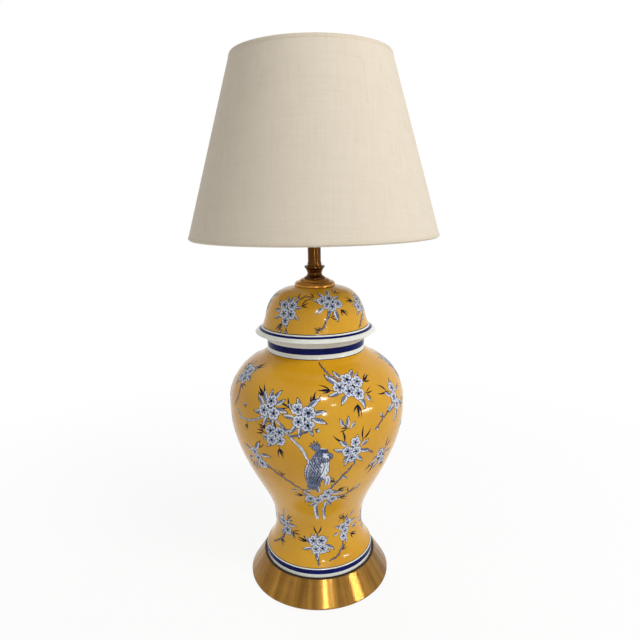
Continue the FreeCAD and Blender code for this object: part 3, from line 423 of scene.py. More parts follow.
def eased(points, step):  # a smooth line through points, in steps of about step
    if len(points) < 3:
        return list(points)
    lengths = [distance(a, b) for a, b in zip(points, points[1:])]
    slopes = []
    for index in range(len(points)):
        before, after = max(index - 1, 0), min(index + 1, len(points) - 1)
        span = sum(lengths[before:after])
        slopes.append([(points[after][k] - points[before][k]) / span for k in (0, 1)])
    line = [points[0]]
    count = max(1, math.ceil(sum(lengths) / step))
    index, passed = 0, 0.0
    for number in range(1, count):
        run = sum(lengths) * number / count
        while passed + lengths[index] < run:
            passed += lengths[index]
            index += 1
        t, span = (run - passed) / lengths[index], lengths[index]
        spot = []
        for k in (0, 1):
            a, b = points[index][k], points[index + 1][k]
            spot.append((2 * t**3 - 3 * t**2 + 1) * a + (t**3 - 2 * t**2 + t) * span * slopes[index][k]
                        + (3 * t**2 - 2 * t**3) * b + (t**3 - t**2) * span * slopes[index + 1][k])
        line.append(tuple(spot))
    line.append(points[-1])
    return line


def headingOf(one, other):
    return math.atan2(other[1] - one[1], other[0] - one[0])


def bendAt(before, here, after):
    turn = headingOf(here, after) - headingOf(before, here)
    return abs((turn + math.pi) % (2 * math.pi) - math.pi)


def refined(outline, step, corner=math.radians(24)):  # a closed outline, its corners kept, its curves smooth
    points = [p for i, p in enumerate(outline) if distance(p, outline[i - 1]) > 0.01 * mm]
    looped = [points[-1], *points, points[0]]
    corners = [i for i in range(len(points)) if bendAt(*looped[i:i + 3]) > corner]
    start = corners[0] if corners else 0
    points = points[start:] + points[:start + 1]
    marks = [i for i in range(1, len(points) - 1) if bendAt(*points[i - 1:i + 2]) > corner]
    smooth = []
    for first, last in zip([0, *marks], [*marks, len(points) - 1]):
        smooth += eased(points[first:last + 1], step)[:-1]
    return smooth


def outerSide(outline, first, last):  # of the two ways along an outline between two of its points, the outer
    def way(start, end):
        start, end = outline.index(start), outline.index(end)
        return (outline + outline)[start:end + 1 if start < end else end + 1 + len(outline)]

    def area(line):
        return sum((a[0] + b[0]) * (b[1] - a[1]) for a, b in zip(line, line[1:]))

    onward, back = way(first, last), way(last, first)[::-1]
    return onward if area(onward) > area(back) else back


# Meshes

def newPiece(name, points, faces, finish):
    mesh = bpy.data.meshes.new(name)
    mesh.from_pydata(points, [], faces)
    mesh.materials.append(finishes[finish])
    piece = bpy.data.objects.new(name, mesh)
    scene.collection.objects.link(piece)
    return piece


def closeUp(piece, merge=True):  # turns faces outwards and smooths all but the sharp edges
    body = bmesh.new()
    body.from_mesh(piece.data)
    if merge:
        bmesh.ops.remove_doubles(body, verts=body.verts, dist=weld)
    bmesh.ops.recalc_face_normals(body, faces=body.faces)
    if merge and body.calc_volume(signed=True) < 0:
        bmesh.ops.reverse_faces(body, faces=body.faces)
    body.to_mesh(piece.data)
    body.free()
    piece.data.shade_smooth()
    piece.data.set_sharp_from_angle(angle=sharpEdge)
    return piece


def turnedPiece(name, outline, finish, sides):  # a closed outline turned about the axis
    rows = len(outline)
    points = []
    for side in range(sides):
        angle = math.pi * (2 * side / sides - 1)
        points += [(r * math.sin(angle), -r * math.cos(angle), z) for r, z in outline]
    faces = []
    for side in range(sides):
        here, there = side * rows, (side + 1) % sides * rows
        for row in range(rows):
            following = (row + 1) % rows
            faces.append((here + row, there + row, there + following, here + following))
    return closeUp(newPiece(name, points, faces, finish))


def standFor(piece, body, slot, *replaced):  # rides a body and hides the CAD nodes that it stands for; slot is not used
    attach(piece, body)
    if replaced:
        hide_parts(*replaced)


def pointAt(side, height):  # where a rising profile passes a height
    for a, b in zip(side, side[1:]):
        if a[1] <= height <= b[1]:
            share = (height - a[1]) / max(b[1] - a[1], tiny)
            return (a[0] + (b[0] - a[0]) * share, height)
    return side[-1] if height > side[-1][1] else side[0]


def ringBand(name, side, low, high, finish):  # a painted band round a turned piece
    line = [pointAt(side, low), *[p for p in side if low <= p[1] <= high], pointAt(side, high)]
    outer, inner = [], []
    for index, (r, z) in enumerate(line):
        before, after = line[max(index - 1, 0)], line[min(index + 1, len(line) - 1)]
        size = distance(before, after)
        outR, outZ = (after[1] - before[1]) / size, (before[0] - after[0]) / size
        outer.append((r + outR * porcelain["bandProud"], z + outZ * porcelain["bandProud"]))
        inner.append((r - outR * porcelain["bandSunk"], z - outZ * porcelain["bandSunk"]))
    return turnedPiece(name, outer + inner[::-1], finish, porcelain["sides"])


# The porcelain

porcelain = {"sides": 224, "step": 3 * mm, "lidStep": 1.5 * mm, "bandProud": 0.06 * mm, "bandSunk": 0.3 * mm}


def lowest(outline):
    return min(outline, key=lambda p: (round(p[1], 5), -p[0]))


def highest(outline):
    return max(outline, key=lambda p: (round(p[1], 5), p[0]))


jarOutline = refined(sectionOf("jar_body"), porcelain["step"])
jarMouth = highest(jarOutline)
jarSide = outerSide(jarOutline, lowest(jarOutline), jarMouth)
jar = turnedPiece("jar", jarOutline, "yellowGlaze", porcelain["sides"])
standFor(jar, "lamp", "glazed_porcelain", "jar_body")

lidOutline = refined(sectionOf("jar_lid"), porcelain["lidStep"])
lidSeat = min(lidOutline, key=lambda p: distance(p, jarMouth))
lidSide = outerSide(lidOutline, lidSeat, highest(lidOutline))
lid = turnedPiece("lid", lidOutline, "yellowGlaze", porcelain["sides"])
standFor(lid, "lamp", "glazed_porcelain", "jar_lid")

# each band: name, profile, lowest and highest edge in millimetres, finish
footStart = jarSide[0][1] / mm + 0.6
bands = [
    ("foot_white", jarSide, footStart, 41.6, "whiteGlaze"),
    ("foot_cobalt", jarSide, 41.6, 48.2, "cobaltGlaze"),
    ("foot_white_line", jarSide, 48.2, 49.6, "whiteGlaze"),
    ("foot_ink_line", jarSide, 49.6, 50.3, "inkLine"),
    ("neck_ink_line", jarSide, 368.4, 369.4, "inkLine"),
    ("neck_white", jarSide, 369.4, 375.6, "whiteGlaze"),
    ("neck_cobalt", jarSide, 375.6, 384.7, "cobaltGlaze"),
    ("neck_top_white", jarSide, 384.7, 392.6, "whiteGlaze"),
    ("lid_white", lidSide, 393.2, 400.8, "whiteGlaze"),
    ("lid_cobalt", lidSide, 400.8, 403.3, "cobaltGlaze"),
    ("lid_white_line", lidSide, 403.3, 405.0, "whiteGlaze"),
    ("lid_ink_line", lidSide, 405.0, 406.0, "inkLine"),
]
for name, side, low, high, finish in bands:
    standFor(ringBand(name, side, low * mm, high * mm, finish), "lamp", "glazed_porcelain")
print("porcelain done:", len(bands), "bands")


# The painted pattern: thin plates of colour, drawn flat and then wrapped round the profile. A plate's
# vertex keeps an anchor: the angle and the run up the profile that its flat x and y start from, and its lift.

def named(tree, name, kind):
    return put(tree, "GeometryNodeInputNamedAttribute", {"Name": name}, data_type=kind).outputs[0]


def turnedFlat(tree, angle):
    return put(tree, "FunctionNodeEulerToRotation", {0: joined(tree, z=angle)}).outputs[0]


def makeOnProfile():
    tree, given, result = newGroup("onProfile", "GeometryNodeTree",
                                   [("Geometry", "Geometry", None), ("Profile", "Object", None)],
                                   [("Geometry", "Geometry")])
    anchor = apart(tree, named(tree, "anchor", "FLOAT_VECTOR"))
    x, y, proud = apart(tree, put(tree, "GeometryNodeInputPosition").outputs[0])
    curve = put(tree, "GeometryNodeObjectInfo", {"Object": given["Profile"]}).outputs["Geometry"]
    sample = put(tree, "GeometryNodeSampleCurve", {"Curves": curve, "Length": plus(tree, anchor[1], y)},
                 mode="LENGTH", use_all_curves=True).outputs
    spot, rise = apart(tree, sample["Position"]), apart(tree, sample["Tangent"])
    angle = plus(tree, anchor[0], maths(tree, "DIVIDE", x, spot[0]))
    proud = plus(tree, proud, anchor[2])
    radius = plus(tree, spot[0], times(tree, proud, rise[2]))
    level = maths(tree, "SUBTRACT", spot[2], times(tree, proud, rise[0]))
    right, front = maths(tree, "SINE", angle), times(tree, maths(tree, "COSINE", angle), -1.0)
    place = joined(tree, times(tree, radius, right), times(tree, radius, front), level)
    sockets = {"Geometry": given["Geometry"], "Position": place}
    moved = put(tree, "GeometryNodeSetPosition", sockets).outputs[0]
    tree.links.new(moved, result["Geometry"])
    return tree


def wrapOn(tree, given, result, copies, strokes):  # makes the copies real and wraps them, and the strokes too
    both = put(tree, "GeometryNodeJoinGeometry", {0: copies})
    tree.links.new(strokes, both.inputs[0])
    real = put(tree, "GeometryNodeRealizeInstances", {0: both.outputs[0]}).outputs[0]
    wrapped = put(tree, "GeometryNodeGroup", {"Geometry": real, "Profile": given["Profile"]},
                  node_tree=onProfile).outputs[0]
    done = put(tree, "GeometryNodeSetMaterial", {"Geometry": wrapped, "Material": given["Finish"]}).outputs[0]
    tree.links.new(done, result["Geometry"])


def makePaintedLayer():
    tree, given, result = newGroup(
        "paintedLayer", "GeometryNodeTree",
        [("Strokes", "Geometry", None), ("Motifs", "Collection", None), ("Spots", "Object", None),
         ("Profile", "Object", None), ("Finish", "Material", None)],
        [("Geometry", "Geometry")])
    spots = put(tree, "GeometryNodeObjectInfo", {"Object": given["Spots"]}).outputs["Geometry"]
    motifs = put(tree, "GeometryNodeCollectionInfo", {
        "Collection": given["Motifs"], "Separate Children": True, "Reset Children": True}).outputs[0]
    stamped = put(tree, "GeometryNodeInstanceOnPoints", {
        "Points": spots, "Instance": motifs, "Pick Instance": True,
        "Instance Index": named(tree, "kind", "INT"),
        "Rotation": turnedFlat(tree, named(tree, "turn", "FLOAT")),
        "Scale": named(tree, "size", "FLOAT")}).outputs[0]
    wrapOn(tree, given, result, stamped, given["Strokes"])
    return tree


onProfile = makeOnProfile()
paintedLayer = makePaintedLayer()


def settled(piece, tree, settings):  # runs the tree on the piece and keeps the result as a plain mesh
    modifier = piece.modifiers.new(tree.name, "NODES")
    modifier.node_group = tree
    for socket in tree.interface.items_tree:
        if socket.in_out == "INPUT" and socket.name in settings:
            modifier[socket.identifier] = settings[socket.name]
    bpy.context.view_layer.update()
    mesh = bpy.data.meshes.new_from_object(piece.evaluated_get(bpy.context.evaluated_depsgraph_get()))
    piece.modifiers.clear()
    piece.data = mesh
    for leftOver in [a.name for a in mesh.attributes if a.name in ("anchor", "turn", "size", "kind")]:
        mesh.attributes.remove(mesh.attributes[leftOver])
    closeUp(piece, merge=False)


def newProfile(name, side):  # a profile to paint on: its curve object, its points and the run at each of them
    curve = bpy.data.curves.new(name, "CURVE")
    curve.dimensions = "3D"
    spline = curve.splines.new("POLY")
    spline.points.add(len(side) - 1)
    for point, (r, z) in zip(spline.points, side):
        point.co = (r, 0, z, 1)
    runs = [0.0]
    for a, b in zip(side, side[1:]):
        runs.append(runs[-1] + distance(a, b))
    return {"object": bpy.data.objects.new(name, curve), "side": side, "runs": runs}


def runAt(profile, height):
    side, runs = profile["side"], profile["runs"]
    for index, (a, b) in enumerate(zip(side, side[1:])):
        if a[1] <= height <= b[1]:
            share = (height - a[1]) / max(b[1] - a[1], tiny)
            return runs[index] + share * (runs[index + 1] - runs[index])
    return runs[-1]


def radiusAt(profile, run):
    for (radius, _), passed in zip(profile["side"], profile["runs"][1:]):
        if passed >= run:
            return radius
    return profile["side"][-1][0]


pattern = {"motifSeed": 41, "brushSeed": 7, "strokeStep": 2.5 * mm, "sunk": 0.25 * mm, "inkEdge": 0.6 * mm,
           "widestFacet": 2.6 * mm, "bird": (0.4, 231)}
colourLayers = {"ink": "inkLine", "pale": "palePetal", "wash": "blueWash", "detail": "inkLine"}
levels = {  # how far each layer stands proud of what it lies on
    "ink": 0.05 * mm, "pale": 0.08 * mm, "wash": 0.11 * mm, "detail": 0.14 * mm,
    "yarn": 0.09 * mm, "lap": 0.35 * mm}


def blankLayers(colours=tuple(colourLayers)):
    return {colour: {"points": [], "anchors": [], "faces": []} for colour in colours}


def fan(layers, colour, outline):  # a plate whose outline is seen whole from its middle
    sheet, count, level = layers[colour], len(outline), levels[colour]
    first = len(sheet["points"])
    sheet["points"].append((sum(x for x, _ in outline) / count, sum(y for _, y in outline) / count, level))
    for height in (level, -pattern["sunk"]):
        sheet["points"] += [(x, y, height) for x, y in outline]
    sheet["anchors"] += [(0, 0, 0)] * (2 * count + 1)
    top, bottom = first + 1, first + 1 + count
    for here in range(count):
        following = (here + 1) % count
        sheet["faces"].append((first, top + here, top + following))
        sheet["faces"].append((top + here, bottom + here, bottom + following, top + following))
    sheet["faces"].append(tuple(range(bottom, bottom + count)))


def ribbon(layers, colour, line, widths, anchors=None):  # a plate along a line; widths are half widths
    sheet, level, sunk = layers[colour], levels[colour], -pattern["sunk"]
    first, columns = len(sheet["points"]), max(1, math.ceil(max(widths) / pattern["widestFacet"]))
    across = [(share / columns, level) for share in range(-columns, columns + 1)]
    rim = [(-1, sunk), *across, (1, sunk)]
    for index, (x, y) in enumerate(line):
        before, after = line[max(index - 1, 0)], line[min(index + 1, len(line) - 1)]
        size = max(distance(before, after), tiny)
        normal = ((after[1] - before[1]) / size, (before[0] - after[0]) / size)
        if anchors:
            x, y = 0.0, 0.0
        for share, height in rim:
            reach = share * widths[index]
            sheet["points"].append((x + normal[0] * reach, y + normal[1] * reach, height))
            sheet["anchors"].append(anchors[index] if anchors else (0, 0, 0))
    count = len(rim)
    for row in range(len(line) - 1):
        here, there = first + count * row, first + count * (row + 1)
        for corner in range(count):
            following = (corner + 1) % count
            sheet["faces"].append((here + corner, there + corner, there + following, here + following))
    for end in (first, first + count * (len(line) - 1)):
        sheet["faces"].append(tuple(range(end, end + count)))


def tapered(count, full, start=0.15, end=0.1, peak=0.45):  # half widths, full at peak and less at both ends
    widths = []
    for index in range(count):
        s = index / (count - 1)
        if s < peak:
            widths.append(full * max(math.sin(math.pi / 2 * s / peak), start))
        else:
            widths.append(full * max(math.cos(math.pi / 2 * (s - peak) / (1 - peak)), end))
    return widths


def turnedBy(points, angle, dx=0.0, dy=0.0):
    c, s = math.cos(angle), math.sin(angle)
    return [(x * c - y * s + dx, x * s + y * c + dy) for x, y in points]


def bow(length, bend, count=6):  # a line that starts upwards and bows sideways
    return [(bend * length * (i / (count - 1))**2, length * i / (count - 1)) for i in range(count)]


# Motifs

def disc(layers, colour, radius, dx=0.0, dy=0.0, corners=10):
    angles = [2 * math.pi / corners * i for i in range(corners)]
    fan(layers, colour, [(radius * math.cos(a) + dx, radius * math.sin(a) + dy) for a in angles])


def drawBlossom(layers, dice):
    start = dice.uniform(0, 72)
    half = [(0.20, 0.10), (0.62, 0.26), (0.97, 0.50), (1.0, 0.74), (0.68, 0.95), (0.24, 1.0)]
    for petal in range(5):
        angle = math.radians(start + 72 * petal + dice.uniform(-4, 4))
        reach, breadth = dice.uniform(7.7, 8.8) * mm, dice.uniform(3.3, 3.7) * mm
        for colour, edge in (("ink", pattern["inkEdge"]), ("pale", 0.0)):
            right = [((breadth + edge) * w, (reach + edge) * s) for w, s in half]
            notch = [(0.0, (reach + edge) * 0.86)]
            fan(layers, colour, turnedBy(right + notch + [(-x, y) for x, y in reversed(right)], angle))
        for lean in (-0.72, -0.3, 0.3, 0.72):
            vein = [(breadth * lean * s, reach * s) for s in (0.36, 0.6, dice.uniform(0.74, 0.9))]
            ribbon(layers, "wash", turnedBy(vein, angle), [0.5 * mm, 0.38 * mm, 0.1 * mm])
    star = []
    for point in range(20):
        reach = dice.uniform(2.9, 4.1) if point % 2 else dice.uniform(1.8, 2.3)
        star += turnedBy([(0, reach * mm)], math.radians(18 * point))
    fan(layers, "wash", star[::-1])
    disc(layers, "detail", 1.75 * mm)
    for stamen in range(7):
        angle = math.radians(51 * stamen + dice.uniform(-14, 14))
        reach = dice.uniform(3.0, 4.2) * mm
        ribbon(layers, "detail", turnedBy([(0, 1.2 * mm), (0, reach)], angle), [0.2 * mm, 0.17 * mm])
        tip = turnedBy([(0, reach)], angle)[0]
        disc(layers, "detail", 0.42 * mm, *tip, corners=5)


def drawLeaf(layers, dice):
    length, width, bend = dice.uniform(14, 19) * mm, dice.uniform(2.3, 3.1) * mm, dice.uniform(-0.3, 0.3)
    line = bow(length, bend, 8)
    ribbon(layers, "ink", line, [w + pattern["inkEdge"] * 0.7 for w in tapered(8, width, end=0.0)])
    inner = bow(length * 0.9, bend, 8)
    ribbon(layers, "pale", inner, tapered(8, width))
    side = dice.choice((-1, 1))
    shaded = [(x + 0.5 * width * side, y) for x, y in inner[1:7]]
    ribbon(layers, "wash", shaded, tapered(6, width * 0.46))
    ribbon(layers, "detail", inner[:7], [0.26 * mm] * 6 + [0.1 * mm])
    for rib in (2, 3, 4, 5):
        x, y = inner[rib]
        for lean in (-1, 1):
            tip = (x + lean * width * 0.66, y + 1.8 * mm)
            ribbon(layers, "detail", [(x, y), tip], [0.16 * mm, 0.08 * mm])


def drawSprig(layers, dice):
    blades = dice.choice((2, 3, 3, 4))
    for blade in range(blades):
        spread = (blade / (blades - 1) - 0.5) * math.radians(dice.uniform(70, 115))
        line = bow(dice.uniform(10, 17) * mm, -0.3 * math.copysign(1, spread) * dice.uniform(0.5, 1.6), 7)
        widths = tapered(7, dice.uniform(0.8, 1.3) * mm, peak=0.4, end=0.0)
        ribbon(layers, "ink", turnedBy(line, -spread), widths)
    ribbon(layers, "ink", [(0, -6 * mm), (0, 0.5 * mm)], [0.35 * mm, 0.55 * mm])


def drawCore(layers, dice):  # the dark ground between a cluster's blossoms
    corners = 16
    blob = [turnedBy([(0, dice.uniform(6, 9) * mm)], 2 * math.pi * i / corners)[0] for i in range(corners)]
    fan(layers, "ink", blob[::-1])


def drawBud(layers, dice):
    stalk = bow(4.5 * mm, dice.uniform(-0.2, 0.2), 4)
    ribbon(layers, "ink", stalk, [0.4 * mm, 0.45 * mm, 0.6 * mm, 0.7 * mm])
    disc(layers, "ink", 3.4 * mm, 0, 6.2 * mm)
    disc(layers, "pale", 2.5 * mm, 0, 6.6 * mm)
    for lean in (-1, 0, 1):
        ribbon(layers, "wash", [(lean * mm, 5 * mm), (lean * 0.8 * mm, 8.2 * mm)], [0.36 * mm, 0.14 * mm])
    for lean in (-1, 1):
        sepal = turnedBy(bow(5 * mm, lean * 0.5, 4), -lean * 0.5, 0, 3 * mm)
        ribbon(layers, "detail", sepal, tapered(4, 0.8 * mm))


motifKinds = {"blossom": (drawBlossom, 5), "leaf": (drawLeaf, 5), "sprig": (drawSprig, 5),
              "bud": (drawBud, 2), "core": (drawCore, 2)}


def bareObject(name, sheet):  # an object that only the trees see
    mesh = bpy.data.meshes.new(name)
    mesh.from_pydata(sheet["points"], [], sheet["faces"])
    return bpy.data.objects.new(name, mesh)


def makeMotifs():  # one collection of variants for each colour, and the numbers of each motif's variants
    dice = random.Random(pattern["motifSeed"])
    collections = {colour: bpy.data.collections.new("motifs_" + colour) for colour in colourLayers}
    numbers, number = {}, 0
    for motif, (draw, count) in motifKinds.items():
        numbers[motif] = list(range(number, number + count))
        for _ in range(count):
            layers = blankLayers()
            draw(layers, dice)
            for colour, sheet in layers.items():
                collections[colour].objects.link(bareObject(f"motif_{number:02d}_{colour}", sheet))
            number += 1
    return collections, numbers


motifs, motifNumbers = makeMotifs()


def newPainting(profile):
    dice = random.Random(pattern["brushSeed"])
    return {"profile": profile, "layers": blankLayers(), "spots": [], "dice": dice}


def stamp(painting, motif, spot, dx, dy, turn, size=1.0, lift=0.0):
    # a motif at (angle, height), moved by dx and dy millimetres on the surface and turned in degrees
    profile = painting["profile"]
    run = runAt(profile, spot[1] * mm) + dy * mm
    angle = math.radians(spot[0]) + dx * mm / radiusAt(profile, run)
    variant = painting["dice"].choice(motifNumbers[motif])
    painting["spots"].append(((angle, run, lift * mm), math.radians(turn), size, variant))


def filledIn(directions, widest=52):  # the same directions, with one more in the middle of each wide gap
    ordered = sorted(d % 360 for d in directions)
    more = []
    for here, following in zip(ordered, [*ordered[1:], ordered[0] + 360]):
        if following - here > widest:
            more.append((here + following) / 2)
    return [*directions, *more]


def cluster(painting, spot, blossoms, leaves, sprigs, size):
    # blossoms are offsets in millimetres; leaves and sprigs are directions in degrees, clockwise from up
    dice = painting["dice"]
    reach = max([math.hypot(x, y) for x, y in blossoms]) + 3.5

    def stampOut(motif, out, away, turn, scale, lift=0.0):  # out is the way from the cluster's middle
        stamp(painting, motif, spot, math.sin(out) * away, math.cos(out) * away, turn, scale, lift)

    for number, direction in enumerate(filledIn(leaves)):
        out = math.radians(direction + dice.uniform(-8, 8))
        away = reach * dice.uniform(0.5, 0.8) * size
        turn = -math.degrees(out) + dice.uniform(-16, 16)
        stampOut("leaf", out, away, turn, size * dice.uniform(0.85, 1.15), 0.06 * (number % 2))
    for direction in sprigs:
        away = (reach + 5) * dice.uniform(0.9, 1.1) * size
        turn = -direction + dice.uniform(-20, 20)
        stampOut("sprig", math.radians(direction), away, turn, size * dice.uniform(0.9, 1.1))
    middle = [sum(offset[k] for offset in blossoms) / len(blossoms) * size for k in (0, 1)]
    stamp(painting, "core", spot, *middle, dice.uniform(0, 360), size, lift=0.08)
    for number, (x, y) in enumerate(blossoms):
        turn, lift = dice.uniform(0, 360), 0.12 + 0.1 * (number % 3)
        stamp(painting, "blossom", spot, x * size, y * size, turn, size * dice.uniform(0.9, 1.08), lift)


def branch(painting, spots, start, end, barked):  # half widths in millimetres at both ends
    profile, dice, layers = painting["profile"], painting["dice"], painting["layers"]
    runs = [runAt(profile, height * mm) for _, height in spots]
    mean = sum(radiusAt(profile, run) for run in runs) / len(runs)
    flat = [(math.radians(angle) * mean, run) for (angle, _), run in zip(spots, runs)]
    line = eased(flat, pattern["strokeStep"])
    count, drift = len(line), 0.35 if barked else 0.8
    line = [(x + dice.gauss(0, drift) * mm, y + dice.gauss(0, drift) * mm) for x, y in line]
    widths = [(start + (end - start) * i / (count - 1)) * dice.uniform(0.8, 1.25) * mm for i in range(count)]

    def stroke(colour, points, halfWidths):
        ribbon(layers, colour, points, halfWidths, [(x / mean, y, 0.0) for x, y in points])

    def beside(part, share, colour, width):  # a stroke next to the branch's middle, on one side
        moved = [(x + share * widths[i], y) for (x, y), i in zip(line[part], range(count)[part])]
        stroke(colour, moved, tapered(len(moved), width))

    stroke("ink", line, [w + pattern["inkEdge"] * 0.8 for w in widths])
    stroke("pale" if barked else "wash", line, widths)
    if barked:
        beside(slice(0, count), 0.5, "wash", start * 0.5 * mm)
    for index in range(1, count - 2, 3):
        beside(slice(index - 1, index + 2), dice.choice((-0.6, 0.7)), "detail", 0.4 * mm)
    side = dice.choice((-1, 1))
    for index in range(2, count - 1, 3):
        side = -side
        x, y = line[index]
        way = headingOf(line[index], line[index + 1]) + side * math.radians(dice.uniform(35, 65))
        reach = dice.uniform(2.2, 5.0) * mm
        thorn = [(x, y), (x + reach * 0.5 * math.cos(way), y + reach * 0.5 * math.sin(way)),
                 (x + reach * math.cos(way + side * 0.2), y + reach * math.sin(way + side * 0.2))]
        stroke("ink", thorn, [0.8 * mm, 0.55 * mm, 0.08 * mm])


def drawBird(painting, spot, flip):  # a crested bird on a perch, about 36 by 85 millimetres
    bird, dice = blankLayers(), painting["dice"]

    def strip(colour, points, widths, edge=0.0):
        line = eased([(x * mm * flip, y * mm) for x, y in points], pattern["strokeStep"])
        spread = []
        for index in range(len(line)):
            s = index / (len(line) - 1) * (len(widths) - 1)
            low = min(int(s), len(widths) - 2)
            spread.append((widths[low] + (widths[low + 1] - widths[low]) * (s - low)) * mm + edge)
        ribbon(bird, colour, line, spread)

    def outlined(points, widths, fill="pale", edge=0.8):
        strip("ink", points, widths, edge * mm)
        strip(fill, points, widths)

    for x, y in ((-11, 39), (-9, 43), (-5, 46), (-0.5, 45), (2.5, 41)):  # the crest
        outlined([(4, 30), (x / 2 + 1, y / 2 + 14), (x, y)], [1.7, 1.35, 0.1], "wash", 0.7)
        strip("pale", [(4, 31), (x / 2 + 1, y / 2 + 15.5), (x * 0.9, y - 3)], [0.6, 0.4, 0.1])
    for x, y in ((-15, -38), (-11, -42), (-6.5, -43.5), (-2, -41), (1.5, -36)):  # the tail
        outlined([(x / 2 - 2, -24), (x * 0.8, -33), (x, y)], [2.3, 2.0, 0.9], "wash", 0.7)
        strip("pale", [(x / 2 - 1.2, -24), (x * 0.8 + 0.9, -32), (x + 0.6, y + 3)], [0.5, 0.6, 0.3])
        strip("detail", [(x / 2 - 2, -25), (x * 0.8, -33), (x, y + 2)], [0.3, 0.25, 0.15])
    for x, y in ((9, -16), (13, -14)):  # the legs
        outlined([(x, y), (x + 2, -22), (x + 1, -32)], [2.6, 1.9, 1.2])
        strip("detail", [(x, -18), (x + 1.2, -23), (x + 0.5, -30)], [0.5, 0.35, 0.2])
    outlined([(8, 34), (6.5, 25), (4, 14), (0, 2), (-4, -10), (-7, -22), (-9, -30)],
             [4.5, 9, 12.5, 16, 15, 11, 6], edge=0.9)
    outlined([(13, 25), (18, 22), (18, 16)], [2.6, 2.4, 0.4], "wash", 0.7)
    for row in range(26):  # rows of feathers down the whole bird, open at the breast
        y = 33 - 2.4 * row
        middle = 7.5 - 0.22 * (34 - y) - (0.4 if row % 2 else 0)
        half = 6.5 + 8.5 * math.sin(math.pi * min(max((34 - y) / 66, 0.0), 1.0))
        for column in range(8):
            x = middle - half + 2 * half * (column + (0.5 if row % 2 else 0.0)) / 8
            if (x > 6 - 0.12 * (14 - y) and -15 < y < 12) or (x > 7 and 20 < y < 29):
                continue
            length = dice.uniform(3.2, 4.8)
            strip("wash", [(x, y), (x - 0.8, y - length * 0.6), (x - 0.3, y - length)], [0.6, 1.25, 0.35])
            if dice.random() < 0.8:
                quill = [(x + 1.0, y - 0.2), (x + 0.5, y - length * 0.7), (x, y - length)]
                strip("detail", quill, [0.18, 0.46, 0.14])
    strip("detail", [(5, 16), (8.5, 6), (7, -4), (1.5, -16), (-5, -27)], [0.25, 0.6, 0.55, 0.5, 0.2])
    for x in (-6.5, -2.8, 0.8, 4.0):
        strip("detail", [(x, -3), (x - 2.4, -13), (x - 6.2, -25)], [0.15, 0.4, 0.2])
        strip("pale", [(x + 1.1, -4), (x - 1.2, -13), (x - 4.8, -23)], [0.2, 0.5, 0.2])
    for x, y, length in ((10, 11, 8), (13, 9, 8), (14.5, 3, 8), (11, 1, 8), (12.5, -4, 7), (8.5, -8, 6)):
        strip("wash", [(x, y), (x + 0.8, y - length / 2), (x, y - length)], [0.2, 0.45, 0.15])
    strip("detail", [(10.2, 26.5), (11.6, 26.5)], [1.2, 1.2])
    strip("detail", [(6, 21), (10, 18), (14, 18.5)], [0.25, 0.55, 0.25])
    strip("detail", [(14, 23.5), (16.6, 21.5), (17.8, 18)], [0.3, 0.35, 0.15])
    angle, run = math.radians(spot[0]), runAt(painting["profile"], spot[1] * mm)
    for colour, sheet in bird.items():
        target = painting["layers"][colour]
        first = len(target["points"])
        target["points"] += sheet["points"]
        target["anchors"] += [(angle, run, 0.0)] * len(sheet["points"])
        target["faces"] += [tuple(first + corner for corner in face) for face in sheet["faces"]]


def sheetPiece(name, sheet, finish):  # a layer's plates as a piece, with the anchor of each point
    piece = newPiece(name, sheet["points"], sheet["faces"], finish)
    attribute = piece.data.attributes.new("anchor", "FLOAT_VECTOR", "POINT")
    attribute.data.foreach_set("vector", [part for anchor in sheet["anchors"] for part in anchor])
    return piece


def finishPainting(painting, prefix):  # one piece for each colour
    spots = bareObject("spots", {"points": [(0, 0, 0)] * len(painting["spots"]), "faces": []})
    columns = [("anchor", "FLOAT_VECTOR", "vector"), ("turn", "FLOAT", "value"), ("size", "FLOAT", "value"),
               ("kind", "INT", "value")]
    for (name, kind, field), values in zip(columns, zip(*painting["spots"])):
        attribute = spots.data.attributes.new(name, kind, "POINT")
        flat = [part for value in values for part in value] if field == "vector" else list(values)
        attribute.data.foreach_set(field, flat)
    for colour, sheet in painting["layers"].items():
        piece = sheetPiece(f"{prefix}_{colour}", sheet, colourLayers[colour])
        settled(piece, paintedLayer, {"Motifs": motifs[colour], "Spots": spots,
                                      "Profile": painting["profile"]["object"],
                                      "Finish": finishes[colourLayers[colour]]})
        standFor(piece, "lamp", "glazed_porcelain")
        print(piece.name, len(piece.data.polygons), "faces")
    bpy.data.objects.remove(spots)


four = [(-7, 6.5), (7, 6), (-6, -7.5), (7.5, -7)]
five = [(-12, 1), (1, 10), (13, 5), (-1.5, -5), (10, -10)]
three = [(1, 9), (-8, -4), (7, -6)]
pair = [(-4, 7), (4, -7)]

